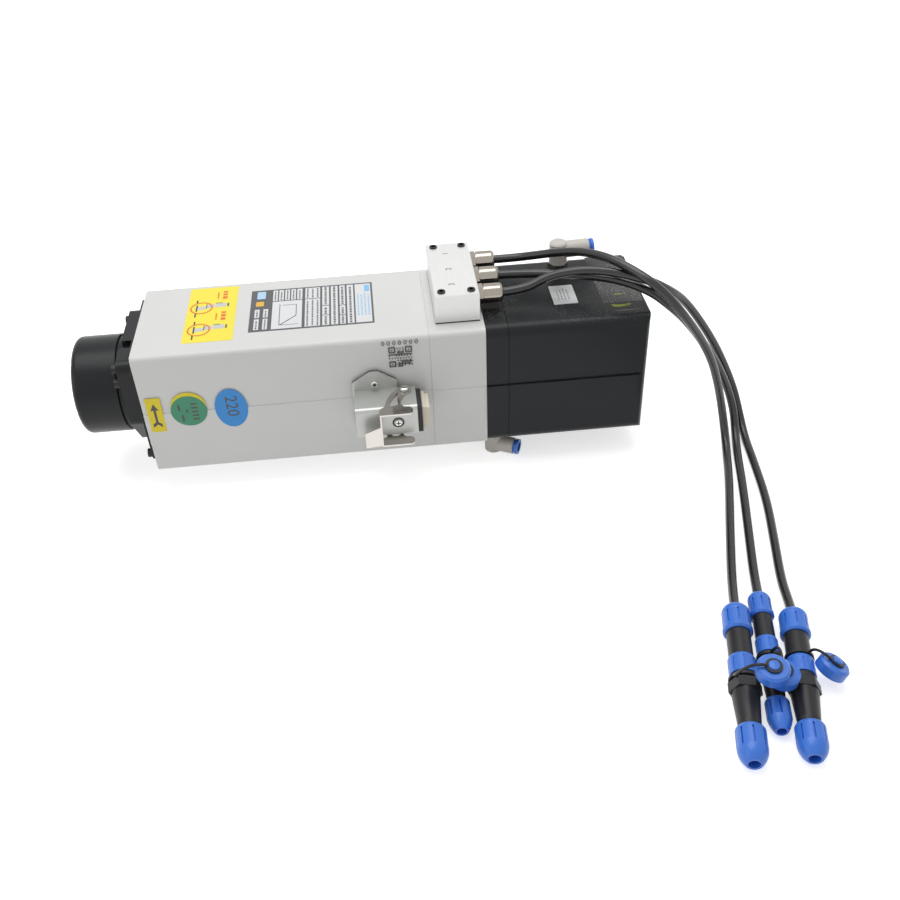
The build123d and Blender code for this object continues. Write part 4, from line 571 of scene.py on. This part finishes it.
charcoal_coat, tree, shader, surface = grained(
    "charcoal coat", (0.012, 0.0135, 0.015), 0.34, 1300.0, 0.06, Specular_IOR_Level=0.2
)
add_dust(tree, shader, surface, 0.26)
dress(charcoal_coat, "cylinder_plate", "fan_housing", "fan_guard")
black_plastic = grained(
    "black moulded plastic", (0.016, 0.016, 0.018), 0.38, 700.0, 0.08, Specular_IOR_Level=0.35
)[0]
dress(black_plastic, "fan_frame", "fan_impeller")
black_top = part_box("fan_housing")[1][2]
# the foil label with a bare face, a worn grey patch, a paint smudge and a scratch
foil = grained("brushed foil", (0.72, 0.73, 0.74), 0.36, 260.0, 0.05, tone_spread=0.1, Metallic=0.75)[0]
plates_on("foil_label", "top", [rounded_outline(362.8, 381.0, -22.6, 5.0, 0.5)], foil, level=black_top)
foil_print = vinyl("foil print", (0.22, 0.22, 0.22))
plates_on(
    "foil_print", "top", text_bars(366.5, 376.5, -17.0, 1.0, 4, 2.4, 0.8, 3), foil_print,
    level=black_top, lift=sticker_thickness, thickness=print_thickness,
)
worn_patch, tree, shader, surface = grained(
    "worn grey patch", (0.045, 0.047, 0.046), 0.6, 1500.0, 0.3, tone_spread=0.15
)
add_dust(tree, shader, surface, 1.0, dust_colour=(0.42, 0.43, 0.38), speck_size=700.0)
plates_on(
    "worn_patch", "top", [rounded_outline(399.0, 429.2, -26.0, 46.0, 0.6)], worn_patch,
    level=black_top, thickness=print_thickness,
)
old_paint = grained("dried green paint", (0.30, 0.36, 0.035), 0.6, 500.0, 0.4, tone_spread=0.4)[0]
smudges = []
for cx, cy, rx, ry, salt in (
    (411.5, -30.8, 6.4, 1.5, 1.0), (416.8, -29.6, 2.6, 0.9, 4.0), (406.0, -29.2, 1.6, 0.7, 2.2),
    (412.6, -14.2, 3.4, 0.7, 7.0), (417.4, -13.6, 1.0, 0.4, 5.1),
):
    smudges.append([
        (cx + rx * (1 + 0.10 * math.sin(2 * math.pi * step / 16 + salt)) * math.cos(math.pi * step / 16),
         cy + ry * (1 + 0.22 * math.sin(3 * math.pi * step / 16 + salt)) * math.sin(math.pi * step / 16))
        for step in range(32)
    ])
plates_on(
    "paint_smudge", "top", smudges, old_paint,
    level=black_top, lift=print_thickness, thickness=print_thickness,
)
rubbed_metal = vinyl("rubbed through coat", (0.16, 0.165, 0.165))
plates_on(
    "coat_scratch", "top",
    [[(402.0, -38.1), (410.0, -37.6), (421.0, -37.3), (426.5, -37.0), (421.0, -37.8), (410.0, -38.2)]],
    rubbed_metal, level=black_top, thickness=print_thickness,
)

# ---------------------------------------------------------------------------------
# Nose. The bearing housing with its flange, the ring on its face and the front plate
# are turned and milled from aluminium and anodised satin black.
black_anodising = grained(
    "satin black anodising", (0.0095, 0.0105, 0.012), 0.30, 1600.0, 0.05, Specular_IOR_Level=0.24
)[0]
dress(black_anodising, "nose_ring", "front_bearing_housing", "front_plate")
black_oxide = grained("black oxide", (0.02, 0.02, 0.02), 0.35, 1200.0, 0.05, Metallic=0.5)[0]
dress(black_oxide, "front_screws", "rear_screws", "junction_box_screws")

# ---------------------------------------------------------------------------------
# Motor, spindle, bearings and release, all inside: ground steel, stacked sheets,
# varnished windings, machined aluminium and rubber.
ground_steel = grained("ground steel", (0.56, 0.57, 0.58), 0.28, 1400.0, 0.05, Metallic=1.0)[0]
dress(
    ground_steel, "spindle_shaft", "front_inner_races", "front_outer_races", "rear_inner_races",
    "rear_outer_races", "shaft_nuts", "spring_nut", "drawbar", "gripper", "disc_springs",
    "front_ball_set", "rear_ball_set", "proximity_sensors",
)
lamination_steel = grained("stacked sheet steel", (0.32, 0.32, 0.34), 0.5, 600.0, 0.2, Metallic=0.9)[0]
dress(lamination_steel, "stator_core", "rotor_core")
varnished_copper = grained("varnished windings", (0.42, 0.16, 0.05), 0.35, 300.0, 0.5, Metallic=0.3)[0]
dress(varnished_copper, "stator_windings")
plain_aluminium = grained("machined aluminium", (0.60, 0.61, 0.62), 0.3, 900.0, 0.06, Metallic=1.0)[0]
dress(plain_aluminium, "cylinder_body", "piston")
soft_rubber = grained("black rubber", (0.018, 0.018, 0.018), 0.7, 600.0, 0.1)[0]
dress(soft_rubber, "junction_box_gasket", "connector_gasket", "connector_seal", "piston_seals")

# ---------------------------------------------------------------------------------
# Junction box. Milled from aluminium, brushed along its length and clear anodised,
# with three nickel-plated cable glands in its rear wall.
brushed_lines, source, sink = open_group(
    "brushed lines",
    [("Color", "NodeSocketColor"), ("Stretch", "NodeSocketVector"), ("Depth", "NodeSocketFloat"),
     ("Tone Spread", "NodeSocketFloat"), ("Gloss", "NodeSocketFloat")],
    [("Color", "NodeSocketColor"), ("Roughness", "NodeSocketFloat"), ("Normal", "NodeSocketVector")],
)
place_node = add_node(brushed_lines, "ShaderNodeTexCoord", (-1100, -300))
stretched = add_node(brushed_lines, "ShaderNodeVectorMath", (-900, -200), operation="MULTIPLY")
brushed_lines.links.new(place_node.outputs["Object"], stretched.inputs[0])
brushed_lines.links.new(source.outputs["Stretch"], stretched.inputs[1])
strokes = add_node(brushed_lines, "ShaderNodeTexNoise", (-700, -200))
strokes.inputs["Scale"].default_value = 1.0
strokes.inputs["Detail"].default_value = 4.0
brushed_lines.links.new(stretched.outputs["Vector"], strokes.inputs["Vector"])
stroke_bump = add_node(brushed_lines, "ShaderNodeBump", (-400, -300))
stroke_bump.inputs["Distance"].default_value = 0.0002
brushed_lines.links.new(strokes.outputs["Fac"], stroke_bump.inputs["Height"])
brushed_lines.links.new(source.outputs["Depth"], stroke_bump.inputs["Strength"])
stroke_tone = add_node(brushed_lines, "ShaderNodeHueSaturation", (200, 200))
brushed_lines.links.new(source.outputs["Color"], stroke_tone.inputs["Color"])
brushed_lines.links.new(
    spread_about(brushed_lines, strokes.outputs["Fac"], None, source.outputs["Tone Spread"], (-400, 250)),
    stroke_tone.inputs["Value"],
)
brushed_lines.links.new(
    spread_about(
        brushed_lines, strokes.outputs["Fac"], source.outputs["Gloss"],
        source.outputs["Tone Spread"], (-400, 50),
    ),
    sink.inputs["Roughness"],
)
brushed_lines.links.new(stroke_tone.outputs["Color"], sink.inputs["Color"])
brushed_lines.links.new(stroke_bump.outputs["Normal"], sink.inputs["Normal"])


def brushed(name, colour, stretch, gloss, depth, tone_spread=0.1, **sockets):
    """Metal drawn or brushed in one direction."""
    material, tree, shader = start_material(name)
    lines = place_group(
        tree, brushed_lines, (0, 0), Color=(*colour, 1), Stretch=stretch, Depth=depth,
        Tone_Spread=tone_spread, Gloss=gloss,
    )
    for output, label in (("Color", "Base Color"), ("Roughness", "Roughness"), ("Normal", "Normal")):
        tree.links.new(lines.outputs[output], shader.inputs[label])
    for label, value in sockets.items():
        shader.inputs[label.replace("_", " ")].default_value = value
    return material


brushed_aluminium = brushed(
    "brushed aluminium", (0.74, 0.745, 0.73), (1500.0, 40.0, 1500.0), 0.42, 0.08,
    tone_spread=0.08, Metallic=0.55,
)
dress(brushed_aluminium, "junction_box")
box_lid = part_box("junction_box")[1][2]
engraving = vinyl("engraved figure", (0.10, 0.10, 0.095))
for number, along in enumerate((-20.5, 2.6, 27.0)):
    numeral(
        "box_figure_%d" % (3 - number), str(3 - number), 6.4 * MM,
        (287.0 * MM, along * MM, box_lid + print_thickness), (0, 1, 0), (-1, 0, 0), engraving,
    )
nickel_plate = grained(
    "nickel plating", (0.37, 0.335, 0.29), 0.18, 900.0, 0.02, tone_spread=0.08, Metallic=1.0
)[0]
dress(nickel_plate, "gland_bodies", "gland_nuts", "fitting_bases")

# ---------------------------------------------------------------------------------
# Power connector. A light grey die-cast bulkhead housing on a black gasket, with a
# cream insert, and a polished stainless latch that swings on two domed pins.
die_cast = grained(
    "light grey die-casting", (0.50, 0.51, 0.49), 0.36, 500.0, 0.14, tone_spread=0.08, Metallic=0.5
)[0]
dress(die_cast, "connector_housing")
bright_screw = grained("bright zinc screw", (0.62, 0.62, 0.60), 0.25, 900.0, 0.03, Metallic=1.0)[0]
dress(bright_screw, "connector_screws")
# painted shade: dark plates stand for the shade in the cross recess of the cover screw and in the sockets of
# the flange screws, a ring of painted shade goes round the cover screw, and polished caps go on the pins
painted_recess_shade = grained("painted screw recess shade", (0.014, 0.014, 0.014), 0.5, 700.0, 0.1)[0]
cover_x, cover_z, cover_face = 239.6, -1.9, -80.0 * MM
cross_reach, cross_half_width = 1.9, 0.42
cover_head_height = 1.4 * MM
flange_screw_x, flange_screw_heights, flange_head_face = 224.5, (16.0, -20.0), -56.2 * MM
# painted shade: a dark cross on the cover screw head, for its recess
plates_on(
    "cover_screw_cross_shade", "side",
    [box_outline(cover_x - cross_reach, cover_x + cross_reach,
                 cover_z - cross_half_width, cover_z + cross_half_width),
     box_outline(cover_x - cross_half_width, cover_x + cross_half_width,
                 cover_z - cross_reach, cover_z - cross_half_width),
     box_outline(cover_x - cross_half_width, cover_x + cross_half_width,
                 cover_z + cross_half_width, cover_z + cross_reach)],
    painted_recess_shade, lift=cover_head_height, thickness=print_thickness, level=cover_face,
)
# painted shade: a dark ring on the cover face round the cover screw
plates_on(
    "cover_screw_ring_shade", "side", ring_outlines(cover_x, cover_z, 3.1, 1.3), painted_recess_shade,
    thickness=2 * print_thickness, level=cover_face,
)
# painted shade: a dark hexagon on each flange screw head, for its socket
plates_on(
    "flange_screw_socket_shade", "side",
    [ellipse_outline(flange_screw_x, z, 1.35, 1.35, steps=6) for z in flange_screw_heights],
    painted_recess_shade, thickness=print_thickness, level=flange_head_face,
)


def domed_cap(name, place, radius, height, way, material, rings=6, steps=36):
    """A low polished dome, standing up or hanging down from a round face."""
    build = bmesh.new()
    rows = []
    for ring in range(rings):
        swing = math.pi / 2 * ring / rings
        reach, rise = radius * math.cos(swing), way * height * math.sin(swing)
        rows.append([
            build.verts.new((
                place[0] + reach * math.cos(2 * math.pi * step / steps),
                place[1] + reach * math.sin(2 * math.pi * step / steps), place[2] + rise,
            ))
            for step in range(steps)
        ])
    crown = build.verts.new((place[0], place[1], place[2] + way * height))
    build.faces.new(rows[0])
    for low, high in zip(rows, rows[1:]):
        for step in range(steps):
            following = (step + 1) % steps
            build.faces.new((low[step], low[following], high[following], high[step]))
    for step in range(steps):
        build.faces.new((rows[-1][step], rows[-1][(step + 1) % steps], crown))
    return finish_mesh(name, build, material)


cap_steel = grained("polished cap", (0.66, 0.65, 0.63), 0.12, 900.0, 0.01, Metallic=1.0)[0]
pin_x, pin_y, pin_head_radius, cap_rise = 246.0 * MM, -59.5 * MM, 3.5 * MM, 1.3 * MM
for name, pin_face, way in (("pin_cap_top", 13.8, 1), ("pin_cap_bottom", -17.5, -1)):
    domed_cap(name, (pin_x, pin_y, pin_face * MM), pin_head_radius, cap_rise, way, cap_steel)
cream_plastic = grained("cream plastic", (0.74, 0.68, 0.56), 0.45, 600.0, 0.05)[0]
dress(cream_plastic, "connector_insert")
contact_brass = grained("contact brass", (0.72, 0.52, 0.22), 0.25, 900.0, 0.02, Metallic=1.0)[0]
dress(contact_brass, "connector_contacts")
polished_steel = grained(
    "polished stainless", (0.56, 0.53, 0.49), 0.14, 900.0, 0.02, tone_spread=0.06, Metallic=1.0
)[0]
dress(polished_steel, "latch_lever")

# ---------------------------------------------------------------------------------
# Air fittings. Push-in elbows moulded in warm light grey plastic with blue release
# rings, on nickel-plated bases that they swivel on.
fitting_grey = grained("warm grey plastic", (0.60, 0.57, 0.52), 0.4, 500.0, 0.05)[0]
dress(fitting_grey, "top_elbow", "bottom_elbow")
blue_plastic = grained("cornflower blue plastic", (0.045, 0.19, 0.72), 0.36, 500.0, 0.05, Coat_Weight=0.1)[0]
dress(
    blue_plastic, "top_release_ring", "bottom_release_ring", "plug_nuts", "socket_nuts",
    "coupling_ring_1", "coupling_ring_2", "coupling_ring_3", "dust_caps",
)
dress(black_plastic, "plug_shells", "socket_shells", "cap_straps")

# ---------------------------------------------------------------------------------
# Sensor cables. Three round black cables, 6.5 mm over their smooth jackets, leave the
# glands, fall behind the spindle, and run out over the table to their plugs.
cable_jacket = grained("black cable jacket", (0.012, 0.012, 0.013), 0.26, 300.0, 0.04, Coat_Weight=0.2)[0]
cable_diameter = 6.5 * MM
cable_routes = {
    "cable_1": [
        (325.12, 34.5, 62.5), (341, 34.2, 62.7), (357, 25, 68.5), (373, 14, 75.5), (388, 1.5, 81),
        (403, -16, 84), (417, -36, 83), (430, -49, 77.5), (442, -55.5, 66.5), (455, -54.5, 49.5),
        (469, -48, 28.5), (481.5, -45, 5.5), (490.5, -41.5, -19.5), (497, -39.5, -42.5),
        (499, -48.5, -60), (496.5, -67, -70.2), (488, -100, -70.2), (474, -146, -70),
        (461, -190, -70.2), (453.6, -216, -67.8), (449.4, -231.5, -64.3),
    ],
    "cable_2": [
        (325.12, 9.5, 62.5), (345, 9, 62.2), (364, 3.5, 63.5), (383, -5.5, 65.5), (402, -15, 67),
        (419, -26, 66.5), (434, -34, 61.5), (447, -37, 51), (461, -34, 36), (479, -28, 11),
        (495.5, -26, -15), (505.5, -27, -36.5), (510, -34.5, -53), (509, -47, -65),
        (505.5, -64, -70.2), (497, -104, -70), (486, -150, -70.2), (476, -191, -70),
        (471.8, -209, -68.4), (468.8, -221, -65.9),
    ],
    "cable_3": [
        (325.12, -16.5, 62.5), (342, -16, 63), (357, -13.5, 70), (373, -17, 75.5), (391, -21, 77.5),
        (410, -28, 77), (430, -34, 72.5), (446, -30, 61.5), (461.5, -20, 46.5), (477.5, -16, 25),
        (494, -14, -1), (507, -15.5, -27), (514, -21, -45), (517, -31.5, -60.5),
        (517, -48, -69.8), (514.5, -76, -70.2), (509, -124, -70), (499, -170, -70.2),
        (490.8, -206, -70), (487.4, -228, -67), (484.9, -240, -64.3),
    ],
}
for name, route in cable_routes.items():
    curve = bpy.data.curves.new(name + "_jacket", "CURVE")
    curve.dimensions = "3D"
    curve.bevel_depth = cable_diameter / 2
    curve.bevel_resolution = 6
    curve.use_fill_caps = True
    curve.resolution_u = 12
    line = curve.splines.new("NURBS")
    line.points.add(len(route) - 1)
    for point, place in zip(line.points, route):
        point.co = (*[value * MM for value in place], 1)
    line.order_u = 3
    line.use_endpoint_u = True
    jacket = bpy.data.objects.new(name + "_jacket", curve)
    bpy.context.scene.collection.objects.link(jacket)
    curve.materials.append(cable_jacket)
    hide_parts(name)
    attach(jacket, "frame")
